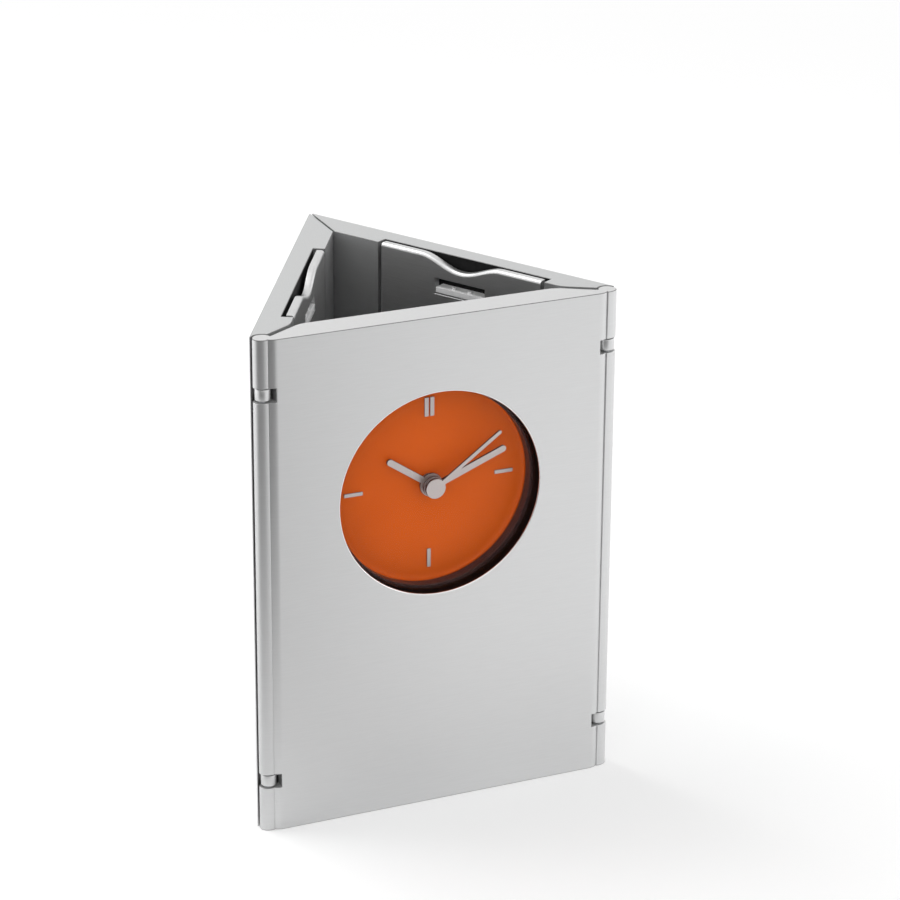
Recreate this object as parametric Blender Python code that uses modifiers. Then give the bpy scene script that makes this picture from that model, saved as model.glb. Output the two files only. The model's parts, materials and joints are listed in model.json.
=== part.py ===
"""A pen holder clock: three hinged panels closed into a three-sided cup, with a quartz clock in the front one.

Metres, +Z up, the face towards -Y, and the origin under the middle of the closed cup.
In a panel, "along" runs from its left corner and "depth" inwards from its outer face.
In the clock, X is right, Y is up and -Z is depth behind the panel's face.
"""

from math import asin, cos, hypot, pi, radians, sin, sqrt

import bmesh
import bpy
from mathutils import Matrix, Vector

# Closed cup
HEIGHT = 0.1000
TIP_CUT = 0.0009
BACK_HALF_GAP = 0.00015
CASE_CLEAR = 0.0009
GAP = 0.0003
RUN = 0.00005
OVERRUN = 0.0020
JOIN = 0.0001
SOFT_CORNER = 0.0012

# Bead rails and hinges
BARREL_R = 0.0018
BARREL_SINK = 0.00005
COVE_GAP = 0.00028
LIP_THICK = 0.00024
FRONT_MITRE = radians(12)
SIDE_MITRE = radians(18)
SHOULDER_R = 0.00045
ROLL_WIDE = 0.0021
ROLL_DROP = 0.00056
NOTCH_FROM_BASE = 0.0090
NOTCH_FROM_TOP = 0.0095
NOTCH_TALL = 0.0028
KNUCKLE_SINK = 0.0001
KNUCKLE_TOP_GAP = 0.00015
KNUCKLE_FOOT_GAP = 0.00045
NECK_BITE = 0.0005
NECK_INSIDE = 0.0003
PIN_R = 0.00075
PIN_REACH = 0.0055

# Front panel
FACE_WALL = 0.0021
COVER_THICK = 0.0014
RECESS_ROOM = 0.0010
RECESS_LOW = 0.0022
LEDGE = 0.0013
BLOCK_LONG = 0.0065
BLOCK_TALL = 0.0098
SCREW_EDGE = 0.0030
SCREW_RISE = 0.0062
SCREW_R = 0.0008
SCREW_BORE_R = 0.0009
HEAD_R = 0.0016
HEAD_THICK = 0.0005
HEAD_SINK = 0.0008
HEAD_ROOM = 0.0003
SLOT_WIDE = 0.0005
SLOT_DEEP = 0.00025

# Floor of the cup
FLOOR_THICK = 0.0025
FLOOR_FLANGE_TALL = 0.0070
FLOOR_CLEAR = 0.0006
FLOOR_TIP_HALF = 0.0014

# Side panels
WINDOW_WALL = 0.0020
PANE_THICK = 0.0014
PHOTO_SLOT = 0.0008
BACKING_THICK = 0.0016
POCKET_FROM = 0.0153
POCKET_BACK = 0.0222
POCKET_LOW = 0.0018
BACKING_END_GAP = 0.0008
THUMB_HALF = 0.0096
THUMB_DEEP = 0.0024
CATCH_HALF = 0.0060
CATCH_DROP = 0.0045
CATCH_TALL = 0.0032
CATCH_LEDGE = 0.0011
CATCH_BUMP_R = 0.00045
LUG_HALF = 0.0048
LUG_TALL = 0.0010
LUG_THICK = 0.0006
WINDOW_MARGIN = 0.0042
WINDOW_LOW = 0.0100
WINDOW_DROP = 0.0023
PANE_LIP = 0.0020
MAGNET_R = 0.0015
MAGNET_THICK = 0.0015
MAGNET_SINK = 0.0001
MAGNET_FROM_END = 0.0200

# Clock case
CLOCK_DROP = 0.0355
HOLE_R = 0.02046
HOLE_BEVEL = 0.0003
CRYSTAL_EDGE = 0.00026
CRYSTAL_FRONT = 0.0012
CRYSTAL_THICK = 0.0008
CRYSTAL_SKIRT = 0.0004
CRYSTAL_FOOT = 0.00035
CASE_LIP = 0.00079
CASE_WALL = 0.00075
CASE_FLANGE_WIDE = 0.0014
CASE_FLANGE_THICK = 0.0014
RING_LIP = 0.00036
DIAL_THICK = 0.0005
DIAL_RIM = 0.00045
DIAL_COVE = 0.00126
DIAL_BORE_GAP = 0.00035
MARK_INSET = 0.00306
MARK_LONG = 0.0038
MARK_WIDE = 0.00075
MARK_DOUBLE = 0.00085
MARK_SPLIT = 0.0003
MARK_THICK = 0.0002
MARK_GAP = 0.0001
CAP_THICK = 0.0008
CASE_LEDGE_THICK = 0.0003
CASE_LEDGE_WIDE = 0.00105
HATCH_RIM = 0.0005
HATCH_SLOT_LONG = 0.0070
HATCH_SLOT_WIDE = 0.0012
HATCH_SLOT_DEEP = 0.0004

# Movement
PLATE_THICK = 0.0008
REAR_THICK = 0.0006
WHEEL_THICK = 0.0004
WHEEL_GAP = 0.00025
PILLAR_R = 0.0010
PILLAR_INSET = 0.00375
PILLAR_TURNS = (radians(38), radians(142), radians(-41))
THIRD_AWAY = 0.00612
MOTION_AWAY = 0.0048
STEP_AWAY = 0.00448
ROTOR_AWAY = 0.0036
TIP_SHARE = 0.80
ROOT_SHARE = 1.50
TIP_HALF_SHARE = 0.08
SECONDS_TEETH, SECONDS_PINION = 36, 6
THIRD_TEETH, THIRD_PINION = 45, 6
MINUTE_TEETH, CANNON_TEETH = 48, 10
MOTION_TEETH, MOTION_PINION = 30, 8
HOUR_TEETH = 32
STEP_TEETH, STEP_PINION = 30, 6
ROTOR_PINION = 6
SET_TEETH = 10
ARBOR_R = 0.00035
ROTOR_ARBOR_R = 0.0003
SECONDS_ARBOR_R = 0.0005
CANNON_WALL = 0.00045
HOUR_WALL = 0.0005
ARBOR_SINK = 0.0004
MAGNET_ROTOR_R = 0.0014
MAGNET_ROTOR_LONG = 0.0013
SET_SHAFT_R = 0.0008
KNOB_R = 0.0030
KNOB_THICK = 0.0015
KNOB_RIBS = 12
KNOB_RIB = 0.0002
STATOR_HALF = 0.0070
STATOR_LEG = 0.0015
STATOR_RIM = 0.0010
STATOR_FOOT = 0.00437
STATOR_CORE = 0.0014
STATOR_THICK = 0.0005
STATOR_HOLE_GAP = 0.0003
COIL_WALL = 0.00075
COIL_BORE_GAP = 0.0001
COIL_END_GAP = 0.0005
BOARD_TURN = radians(38.9)
BOARD_INSET = 0.00134
BOARD_ASIDE = 0.0015
BOARD_DROP = 0.0050
BOARD_THICK = 0.0006
QUARTZ_R = 0.00095
QUARTZ_LONG = 0.0060
CELL_R = 0.00475
CELL_ASIDE = 0.00108
LEAF_THICK = 0.00025
LEAF_HALF_WIDE = 0.0015
LEAF_GRIP = 0.0024
LEAF_SEAT = 0.00005
MINUS_INSET = 0.0008
MINUS_HALF_WIDE = 0.0020

# Hands, as they stand in the photograph
HOUR_ANGLE = radians(304.5)
MINUTE_ANGLE = radians(68.5)
SECOND_ANGLE = radians(54.3)
CAP_CLEAR = 0.0004
CAP_HUB_R = 0.0020
CAP_HUB_THICK = 0.0006
MINUTE_SPACE = 0.0004
HOUR_SPACE = 0.0008
DIAL_SPACE = 0.0010
HAND_THICK = 0.0004
HOUR_REACH = 0.0109
MINUTE_INSET = 0.00446
SECOND_INSET = 0.00386
HAND_WIDE = 0.0013
SECOND_WIDE = 0.00055
HOUR_HUB_WALL = 0.0007
MINUTE_HUB_WALL = 0.00105
TUBE_STEP = 0.0001

# How finely round forms are divided
FACE_ROUND = 52
ROUND = 36
SMALL_ROUND = 12
ARC_STEPS = 14
SOFT_STEPS = 4

# Radii that follow from the clock's opening and its arbors
CASE_R = HOLE_R + CASE_LIP
RING_R = HOLE_R - RING_LIP
CASE_OUTER_R = CASE_R + CASE_WALL
CASE_FLANGE_R = CASE_OUTER_R + CASE_FLANGE_WIDE
CANNON_R = SECONDS_ARBOR_R + RUN + CANNON_WALL
HOUR_TUBE_R = CANNON_R + RUN + HOUR_WALL
HATCH_R = CELL_R + HATCH_RIM

# Depths that follow from the stack of parts behind the face
SIDE_WALL = WINDOW_WALL + GAP + PANE_THICK + GAP
PANEL_THICK = SIDE_WALL + PHOTO_SLOT + BACKING_THICK
CASE_FRONT = FACE_WALL + GAP
COVER_FRONT = PANEL_THICK - COVER_THICK
LEDGE_DEPTH = COVER_FRONT - GAP
SECOND_HAND_DEPTH = CRYSTAL_FRONT + CRYSTAL_THICK + CAP_CLEAR
MINUTE_HAND_DEPTH = SECOND_HAND_DEPTH + CAP_HUB_THICK + MINUTE_SPACE
HOUR_HAND_DEPTH = MINUTE_HAND_DEPTH + HAND_THICK + HOUR_SPACE
DIAL_DEPTH = HOUR_HAND_DEPTH + HAND_THICK + DIAL_SPACE
DIAL_BACK = DIAL_DEPTH + DIAL_THICK
PLATE_FRONT = DIAL_BACK + GAP
PLATE_BACK = PLATE_FRONT + PLATE_THICK
ARBOR_FRONT = PLATE_BACK - ARBOR_SINK
LAYER = WHEEL_THICK + WHEEL_GAP
HOUR_LAYER, MOTION_LAYER, MINUTE_LAYER, THIRD_LAYER, SECONDS_LAYER, STEP_LAYER = (
    PLATE_BACK + WHEEL_GAP + k * LAYER for k in range(6)
)
REAR_FRONT = STEP_LAYER + WHEEL_THICK + GAP
REAR_BACK = REAR_FRONT + REAR_THICK
ARBOR_BACK = REAR_FRONT + ARBOR_SINK
CASE_LEDGE_FRONT = REAR_BACK + GAP
CAP_FRONT = CASE_LEDGE_FRONT + CASE_LEDGE_THICK + GAP
CAP_BACK = CAP_FRONT + CAP_THICK
CASE_BACK = CAP_BACK + GAP
CELL_FRONT = PLATE_BACK + GAP + LEAF_THICK + GAP
CELL_BACK = REAR_BACK + LEAF_SEAT - GAP

# The panels are wide enough for the case to clear the closed side panels
ROOT3 = sqrt(3)
PANEL_SIDE = 2 * (CASE_OUTER_R + (2 * PANEL_THICK + CASE_BACK) / ROOT3 + CASE_CLEAR)
CLOCK_HIGH = HEIGHT - CLOCK_DROP
RECESS_ALONG = PANEL_SIDE / 2 - CASE_FLANGE_R - RECESS_ROOM
FLOOR_LOW = RECESS_LOW + GAP
POCKET_TO = PANEL_SIDE - POCKET_BACK
THUMB_ALONG = (POCKET_FROM + POCKET_TO) / 2
CATCH_HIGH = HEIGHT - CATCH_DROP
CATCH_LOW = CATCH_HIGH - CATCH_TALL
WINDOW_HIGH = CATCH_LOW - WINDOW_DROP

# The hinge axis, from the front panel's corner and from a side panel's
COVE_R = BARREL_R + COVE_GAP
AXIS_DEPTH = BARREL_R + BARREL_SINK
AXIS_ALONG = (COVE_R + LIP_THICK + AXIS_DEPTH * cos(radians(60))) / sin(radians(60))
SIDE_AXIS = (
    AXIS_ALONG * cos(radians(60)) + AXIS_DEPTH * sin(radians(60)),
    AXIS_ALONG * sin(radians(60)) - AXIS_DEPTH * cos(radians(60)),
)
KNUCKLE_R = BARREL_R - KNUCKLE_SINK
NOTCH_ALONG = AXIS_ALONG + COVE_R
NOTCH_LOWS = (NOTCH_FROM_BASE, HEIGHT - NOTCH_FROM_TOP - NOTCH_TALL)

# Where the panels and the clock stand
FACE_Y = -(PANEL_SIDE - TIP_CUT) * sin(radians(60)) / 2
FRONT = Matrix.Translation((-PANEL_SIDE / 2, FACE_Y, 0))
RIGHT = Matrix.Translation((PANEL_SIDE / 2, FACE_Y, 0)) @ Matrix.Rotation(radians(120), 4, "Z")
CLOCK = Matrix.Translation((0, FACE_Y, CLOCK_HIGH)) @ Matrix.Rotation(radians(90), 4, "X")
UPRIGHT = Matrix.Rotation(radians(90), 4, "X")
FLIP = Matrix.Scale(-1, 4, (1, 0, 0))
HINGE = Vector((PANEL_SIDE / 2 - AXIS_ALONG, FACE_Y + AXIS_DEPTH, 0))

# Arbors, seen from the front with the clock's centre at 0, 0
CENTRE = (0.0, 0.0)
THIRD_AT = (0.0, THIRD_AWAY)
MOTION_AT = (-MOTION_AWAY, 0.0)
SET_AT = (-2 * MOTION_AWAY, 0.0)
STEP_AT = (0.0, -STEP_AWAY)
ROTOR_AT = (0.0, -STEP_AWAY - ROTOR_AWAY)
MINUTE_TIP_R = THIRD_AWAY / (MINUTE_TEETH + THIRD_PINION) * (MINUTE_TEETH + 2 * TIP_SHARE)
CELL_AT = (MINUTE_TIP_R + CELL_ASIDE + CELL_R, 0.0)
UP, RIGHTWARDS, DOWN, LEFTWARDS = radians(90), 0.0, radians(-90), radians(180)

# Colour, roughness and metallic value of each material
LOOKS = {
    "satin_silver": ((0.60, 0.61, 0.62), 0.38, 0.9),
    "grey_plastic": ((0.16, 0.16, 0.17), 0.50, 0.0),
    "steel": ((0.55, 0.56, 0.58), 0.30, 1.0),
    "clear": ((0.90, 0.93, 0.95), 0.05, 0.0),
    "brown": ((0.06, 0.025, 0.015), 0.25, 0.0),
    "orange": ((0.60, 0.10, 0.012), 0.35, 0.0),
    "hand_silver": ((0.62, 0.55, 0.53), 0.35, 1.0),
    "black_plastic": ((0.02, 0.02, 0.022), 0.45, 0.0),
    "white_plastic": ((0.75, 0.74, 0.70), 0.50, 0.0),
    "brass": ((0.75, 0.55, 0.22), 0.30, 1.0),
    "copper": ((0.70, 0.32, 0.16), 0.35, 1.0),
    "green_board": ((0.03, 0.20, 0.08), 0.50, 0.0),
}


def start_scene():
    """Empties the scene and adds one collection for the parts and one for the cutters."""
    for thing in list(bpy.data.objects):
        bpy.data.objects.remove(thing)
    for name in ("pen_holder_clock", "cutters"):
        bpy.context.scene.collection.children.link(bpy.data.collections.new(name))


def material(name, look):
    """A Principled BSDF material with the look's colour, roughness and metallic value."""
    colour, rough, metal = LOOKS[look]
    made = bpy.data.materials.new(name)
    made.use_nodes = True
    shader = made.node_tree.nodes["Principled BSDF"]
    shader.inputs["Base Color"].default_value = (*colour, 1.0)
    shader.inputs["Roughness"].default_value = rough
    shader.inputs["Metallic"].default_value = metal
    return made


def closed(mesh):
    """The mesh with its doubles merged and its faces pointing out."""
    work = bmesh.new()
    work.from_mesh(mesh)
    bmesh.ops.remove_doubles(work, verts=work.verts, dist=0.000001)
    bmesh.ops.dissolve_degenerate(work, dist=0.0000001, edges=work.edges)
    bmesh.ops.recalc_face_normals(work, faces=work.faces)
    work.to_mesh(mesh)
    work.free()
    return mesh


def evaluated(thing):
    """A new mesh with an object's modifiers applied."""
    graph = bpy.context.evaluated_depsgraph_get()
    return bpy.data.meshes.new_from_object(thing.evaluated_get(graph))


def from_helper(data, steps=0):
    """The closed mesh of a curve, or of a profile turned round Z in this many steps."""
    helper = bpy.data.objects.new("helper", data)
    bpy.context.scene.collection.objects.link(helper)
    if steps:
        screw = helper.modifiers.new("turn", "SCREW")
        screw.steps = screw.render_steps = steps
        screw.use_merge_vertices = True
        screw.merge_threshold = 0.000001
    mesh = evaluated(helper)
    bpy.data.objects.remove(helper)
    return closed(mesh)


def plate(outlines, low, high):
    """A flat outline between two heights, with any later outlines as its holes."""
    curve = bpy.data.curves.new("outline", "CURVE")
    curve.dimensions = "2D"
    curve.fill_mode = "BOTH"
    curve.extrude = (high - low) / 2
    for points in outlines:
        spline = curve.splines.new("POLY")
        spline.points.add(len(points) - 1)
        for point, (x, y) in zip(spline.points, points):
            point.co = (x, y, 0, 1)
        spline.use_cyclic_u = True
    mesh = from_helper(curve)
    mesh.transform(Matrix.Translation((0, 0, (low + high) / 2)))
    return mesh


def layer(outlines, near, far):
    """A plate between two depths, in the clock's frame."""
    return plate(outlines, -far, -near)


def upright(outlines, near, far):
    """An outline of along and height, between two depths of a panel."""
    mesh = plate(outlines, -far, -near)
    mesh.transform(UPRIGHT)
    return mesh


def turned(profile, steps=ROUND):
    """A closed profile of radius and height turned round Z."""
    data = bpy.data.meshes.new("profile")
    count = len(profile)
    edges = [(k, (k + 1) % count) for k in range(count) if profile[k][0] or profile[(k + 1) % count][0]]
    data.from_pydata([(r, 0, z) for r, z in profile], edges, [])
    return from_helper(data, steps)


def post(radius, low, high, at=CENTRE, steps=SMALL_ROUND):
    """A cylinder along Z between two heights."""
    mesh = bpy.data.meshes.new("post")
    work = bmesh.new()
    place = Matrix.Translation((*at, (low + high) / 2))
    bmesh.ops.create_cone(
        work, cap_ends=True, segments=steps, radius1=radius, radius2=radius, depth=high - low, matrix=place
    )
    work.to_mesh(mesh)
    work.free()
    return mesh


def rod(radius, near, far, at=CENTRE, steps=SMALL_ROUND):
    """A cylinder between two depths, in the clock's frame."""
    return post(radius, -far, -near, at, steps)


def block(low, high):
    """A box between two corners."""
    mesh = bpy.data.meshes.new("block")
    work = bmesh.new()
    middle = (Vector(low) + Vector(high)) / 2
    size = Vector(high) - Vector(low)
    bmesh.ops.create_cube(work, size=1, matrix=Matrix.Translation(middle) @ Matrix.Diagonal((*size, 1)))
    work.to_mesh(mesh)
    work.free()
    return mesh


def solid(name, mesh, look, frame=Matrix(), pivot=None):
    """Adds a node, with its origin on the joint axis it turns about."""
    origin = Vector(pivot) if pivot is not None else Vector()
    mesh.transform(Matrix.Translation(-origin) @ frame)
    if frame.is_negative:
        mesh.flip_normals()
    mesh.name = name
    mesh.materials.clear()
    mesh.materials.append(material(name, look))
    mesh.shade_smooth()
    mesh.set_sharp_from_angle(angle=radians(30))
    node = bpy.data.objects.new(name, mesh)
    node.location = origin
    bpy.data.collections["pen_holder_clock"].objects.link(node)
    return node


def boolean(target, tool, frame, operation):
    """Cuts a tool's mesh from the target, or joins it on."""
    tool.transform(Matrix.Translation(-target.location) @ frame)
    cutter = bpy.data.objects.new(f"{target.name}_tool_{len(target.modifiers)}", tool)
    cutter.location = target.location
    cutter.hide_render = True
    cutter.display_type = "WIRE"
    bpy.data.collections["cutters"].objects.link(cutter)
    step = target.modifiers.new(cutter.name, "BOOLEAN")
    step.operation = operation
    step.object = cutter


def cut(target, tool, frame=Matrix()):
    boolean(target, tool, frame, "DIFFERENCE")


def join(target, tool, frame=Matrix()):
    boolean(target, tool, frame, "UNION")


def arc(centre, radius, start, end, steps, squash=1.0):
    """Points along an arc, which may be squashed in its second direction."""
    turns = [start + (end - start) * k / steps for k in range(steps + 1)]
    return [(centre[0] + radius * cos(a), centre[1] + radius * squash * sin(a)) for a in turns]


def circle(radius, centre=CENTRE, steps=ROUND):
    return arc(centre, radius, 0, 2 * pi, steps)[:-1]


def rectangle(low, high):
    return [low, (high[0], low[1]), high, (low[0], high[1])]


def soft(before, corner, after):
    """A rounded corner that leaves one line and meets the next one."""
    points = []
    for k in range(SOFT_STEPS + 1):
        t = k / SOFT_STEPS
        shares = ((1 - t) ** 2, 2 * t * (1 - t), t * t)
        near = (before, corner, after)
        points.append(tuple(sum(w * p[i] for w, p in zip(shares, near)) for i in (0, 1)))
    return points


def inner_corner(start):
    """The rounded inner end of a mitre that starts here and runs along the corner's bisector."""
    corner = (start[0] + (PANEL_THICK - start[1]) * ROOT3, PANEL_THICK)
    before = (corner[0] - SOFT_CORNER * ROOT3 / 2, corner[1] - SOFT_CORNER / 2)
    after = (corner[0] + SOFT_CORNER, corner[1])
    return soft(before, corner, after)


def front_half():
    """The left half of the front panel's outline, from its face round the beads to its inside."""
    roll_r = (ROLL_WIDE ** 2 + ROLL_DROP ** 2) / (2 * ROLL_DROP)
    roll_middle = (AXIS_ALONG + SHOULDER_R + ROLL_WIDE, roll_r)
    roll = arc(roll_middle, roll_r, -pi / 2, -pi / 2 - asin(ROLL_WIDE / roll_r), SOFT_STEPS)
    shoulder = arc((AXIS_ALONG, BARREL_SINK + SHOULDER_R), SHOULDER_R, 0, -pi / 2, SOFT_STEPS)
    barrel = arc((AXIS_ALONG, AXIS_DEPTH), BARREL_R, -pi / 2, FRONT_MITRE - 2 * pi, ARC_STEPS)
    return [*roll, *shoulder[:-1], *barrel, *inner_corner(barrel[-1])]


def front_outline():
    left = front_half()
    return left + [(PANEL_SIDE - along, depth) for along, depth in reversed(left)]


def pocket_outline():
    """The hollow of the front shell: a cross that leaves a block in each corner for a screw."""
    left, low = RECESS_ALONG + LEDGE, RECESS_LOW + JOIN
    right, high = PANEL_SIDE - left, HEIGHT - low
    across, tall = BLOCK_LONG, BLOCK_TALL
    quarter = [(left, low + tall), (left + across, low + tall), (left + across, low)]
    lower = quarter + [(left + right - a, z) for a, z in reversed(quarter)]
    return lower + [(a, low + high - z) for a, z in reversed(lower)]


def screw_places():
    along, high = RECESS_ALONG + LEDGE + SCREW_EDGE, RECESS_LOW + SCREW_RISE
    return [(a, z) for a in (along, PANEL_SIDE - along) for z in (high, HEIGHT - high)]


def panel_rod(radius, near, far, at):
    """A cylinder along a panel's depth, at a place given as along and height."""
    mesh = post(radius, -far, -near, at)
    mesh.transform(UPRIGHT)
    return mesh


def notch_middles():
    return [low + NOTCH_TALL / 2 for low in NOTCH_LOWS]


def front_shell():
    shell = solid("front_shell", plate([front_outline()], 0, HEIGHT), "satin_silver", FRONT)
    inside = PANEL_THICK + OVERRUN
    cut(shell, upright([pocket_outline()], FACE_WALL, inside), FRONT)
    low = (RECESS_ALONG, RECESS_LOW)
    high = (PANEL_SIDE - RECESS_ALONG, HEIGHT - RECESS_LOW)
    cut(shell, upright([rectangle(low, high)], LEDGE_DEPTH, inside), FRONT)
    cut(shell, layer([circle(CASE_FLANGE_R + GAP)], FACE_WALL + JOIN, LEDGE_DEPTH + JOIN), CLOCK)
    rim = [(HOLE_R + HOLE_BEVEL + OVERRUN, OVERRUN), (HOLE_R, -HOLE_BEVEL), (HOLE_R, -FACE_WALL - OVERRUN)]
    cut(shell, turned([(0, OVERRUN), *rim, (0, -FACE_WALL - OVERRUN)], FACE_ROUND), CLOCK)
    for place in screw_places():
        cut(shell, panel_rod(SCREW_BORE_R, FACE_WALL + HEAD_THICK, inside, place), FRONT)
    cut_hinges(shell)


def cut_hinges(shell):
    """Opens the four notches in the bead rails, and the blind bores for the pins above and below them."""
    for side in (0, 1):
        outer, inner = (-OVERRUN, NOTCH_ALONG) if not side else (PANEL_SIDE - NOTCH_ALONG, PANEL_SIDE + OVERRUN)
        axis = (abs(side * PANEL_SIDE - AXIS_ALONG), AXIS_DEPTH)
        for low in NOTCH_LOWS:
            cut(shell, block((outer, -OVERRUN, low), (inner, PANEL_THICK, low + NOTCH_TALL)), FRONT)
        for middle in notch_middles():
            reach = NOTCH_TALL / 2 + PIN_REACH + GAP
            cut(shell, post(PIN_R + RUN, middle - reach, middle + reach, axis), FRONT)


def hinge_pins():
    for side, x in (("left", -HINGE.x), ("right", HINGE.x)):
        for end, middle in zip(("bottom", "top"), notch_middles()):
            reach = NOTCH_TALL / 2 + PIN_REACH
            pin = post(PIN_R, middle - reach, middle + reach)
            solid(f"hinge_pin_{side}_{end}", pin, "steel", Matrix.Translation((x, HINGE.y, 0)))


def back_cover():
    low = (RECESS_ALONG + GAP, FLOOR_LOW + FLOOR_THICK + GAP)
    high = (PANEL_SIDE - RECESS_ALONG - GAP, HEIGHT - RECESS_LOW - GAP)
    cover = solid("back_cover", upright([rectangle(low, high)], COVER_FRONT, PANEL_THICK), "grey_plastic", FRONT)
    bore = CASE_OUTER_R + GAP
    boss_front = CASE_FRONT + CASE_FLANGE_THICK + GAP
    join(cover, layer([circle(CASE_FLANGE_R)], boss_front, COVER_FRONT + JOIN), CLOCK)
    cut(cover, rod(bore, CASE_FRONT, PANEL_THICK + OVERRUN, steps=ROUND), CLOCK)
    for place in screw_places():
        cut(cover, panel_rod(SCREW_BORE_R + JOIN, LEDGE_DEPTH, PANEL_THICK + OVERRUN, place), FRONT)
        cut(cover, panel_rod(HEAD_R + GAP, PANEL_THICK - HEAD_SINK, PANEL_THICK + OVERRUN, place), FRONT)


def cover_screws():
    seat = PANEL_THICK - HEAD_SINK + HEAD_ROOM
    for number, place in enumerate(screw_places(), 1):
        tip = FACE_WALL + HEAD_THICK + GAP
        screw = solid(f"cover_screw_{number}", panel_rod(SCREW_R, tip, seat + JOIN, place), "steel", FRONT)
        join(screw, panel_rod(HEAD_R, seat, seat + HEAD_THICK, place), FRONT)
        slot_low = (place[0] - HEAD_R - JOIN, seat + HEAD_THICK - SLOT_DEEP, place[1] - SLOT_WIDE / 2)
        slot_high = (place[0] + HEAD_R + JOIN, seat + HEAD_THICK + OVERRUN, place[1] + SLOT_WIDE / 2)
        cut(screw, block(slot_low, slot_high), FRONT)


def floor_plate():
    """The cup's floor: a triangle inside the three panels, with a flange held behind the back cover."""
    start = PANEL_THICK + GAP
    top = FLOOR_LOW + FLOOR_THICK
    corner = PANEL_THICK * ROOT3 + FLOOR_CLEAR * 2 / ROOT3
    tip = PANEL_SIDE / 2 - FLOOR_TIP_HALF
    half = [(corner + GAP / ROOT3, start), (tip, PANEL_THICK + (tip - corner) * ROOT3)]
    outline = half + [(PANEL_SIDE - a, d) for a, d in reversed(half)]
    floor = solid("floor_plate", plate([outline], FLOOR_LOW, top), "grey_plastic", FRONT)
    left = RECESS_ALONG + LEDGE + BLOCK_LONG + 2 * GAP
    right = PANEL_SIDE - left
    join(floor, block((left, CASE_FRONT, FLOOR_LOW + JOIN), (right, start + JOIN, top - JOIN)), FRONT)
    low = (left + JOIN, CASE_FRONT + JOIN, FLOOR_LOW + 2 * JOIN)
    join(floor, block(low, (right - JOIN, LEDGE_DEPTH, FLOOR_LOW + FLOOR_FLANGE_TALL)), FRONT)


def side_outline():
    """A side panel's outline, from the lip over the barrel to the back corner and round inside."""
    tip_depth = sin(radians(60)) * (TIP_CUT - 2 * BACK_HALF_GAP) / 2
    tip = (PANEL_SIDE - 2 * BACK_HALF_GAP - tip_depth * ROOT3, tip_depth)
    back = (PANEL_SIDE - 2 * BACK_HALF_GAP - PANEL_THICK * ROOT3, PANEL_THICK)
    cove = arc(SIDE_AXIS, COVE_R, SIDE_MITRE, -pi / 2, ARC_STEPS)
    inner = inner_corner(cove[0])
    return [(SIDE_AXIS[0], 0.0), (PANEL_SIDE - TIP_CUT, 0.0), tip, back, *reversed(inner), *cove]


def backing_span():
    return POCKET_FROM + BACKING_END_GAP, POCKET_TO - BACKING_END_GAP


def pane_span():
    """The pane's recess as along and height: low corner, high corner."""
    low = (POCKET_FROM + WINDOW_MARGIN - PANE_LIP - GAP, WINDOW_LOW - PANE_LIP - GAP)
    high = (POCKET_TO - WINDOW_MARGIN + PANE_LIP + GAP, WINDOW_HIGH + PANE_LIP)
    return low, high


def side_frame():
    """The right panel's frame: a window in the outer wall, a pocket for the backing plate, and the knuckles."""
    frame = solid("right_frame", plate([side_outline()], 0, HEIGHT), "satin_silver", RIGHT, HINGE)
    inside = PANEL_THICK + OVERRUN
    pocket = rectangle((POCKET_FROM, POCKET_LOW), (POCKET_TO, HEIGHT + OVERRUN))
    cut(frame, upright([pocket], SIDE_WALL, inside), RIGHT)
    cut(frame, upright([rectangle(*pane_span())], WINDOW_WALL, SIDE_WALL + GAP), RIGHT)
    window = rectangle((POCKET_FROM + WINDOW_MARGIN, WINDOW_LOW), (POCKET_TO - WINDOW_MARGIN, WINDOW_HIGH))
    cut(frame, upright([window], -OVERRUN, WINDOW_WALL + GAP), RIGHT)
    backing_front = PANEL_THICK - BACKING_THICK
    lug_middle = backing_front + BACKING_THICK / 2
    lug_half = LUG_THICK / 2 + GAP
    socket_low = (THUMB_ALONG - LUG_HALF - GAP, lug_middle - lug_half, POCKET_LOW - LUG_TALL)
    cut(frame, block(socket_low, (THUMB_ALONG + LUG_HALF + GAP, lug_middle + lug_half, POCKET_LOW + GAP)), RIGHT)
    add_catch(frame)
    add_knuckles(frame)
    cut_magnet_seats(frame)
    return frame


def add_catch(frame):
    """The ledge with two bumps that reaches through the backing plate's window and holds it in."""
    half = CATCH_HALF - GAP
    low = (THUMB_ALONG - half, SIDE_WALL - JOIN, CATCH_LOW + GAP)
    high = (THUMB_ALONG + half, PANEL_THICK, CATCH_LOW + GAP + CATCH_LEDGE)
    join(frame, block(low, high), RIGHT)
    for share in (-1 / 3, 1 / 3):
        place = (THUMB_ALONG + share * half, PANEL_THICK - 2 * CATCH_BUMP_R)
        join(frame, post(CATCH_BUMP_R, high[2] - JOIN, high[2] + CATCH_BUMP_R, place), RIGHT)


def add_knuckles(frame):
    """Two knuckles on the hinge axis, with necks to the frame and a running bore for the pin."""
    along, depth = SIDE_AXIS
    for low in NOTCH_LOWS:
        top = low + NOTCH_TALL - KNUCKLE_TOP_GAP
        bottom = low + KNUCKLE_FOOT_GAP
        join(frame, post(KNUCKLE_R, bottom, top, SIDE_AXIS), RIGHT)
        neck_end = (along + COVE_R + NECK_BITE, depth + NECK_INSIDE, top)
        neck = block((along, depth - KNUCKLE_R + JOIN, bottom), neck_end)
        join(frame, neck, RIGHT)
        cut(frame, post(PIN_R + RUN, bottom - GAP, top + GAP, SIDE_AXIS), RIGHT)


def magnet_heights():
    return MAGNET_FROM_END, HEIGHT - MAGNET_FROM_END


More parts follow.
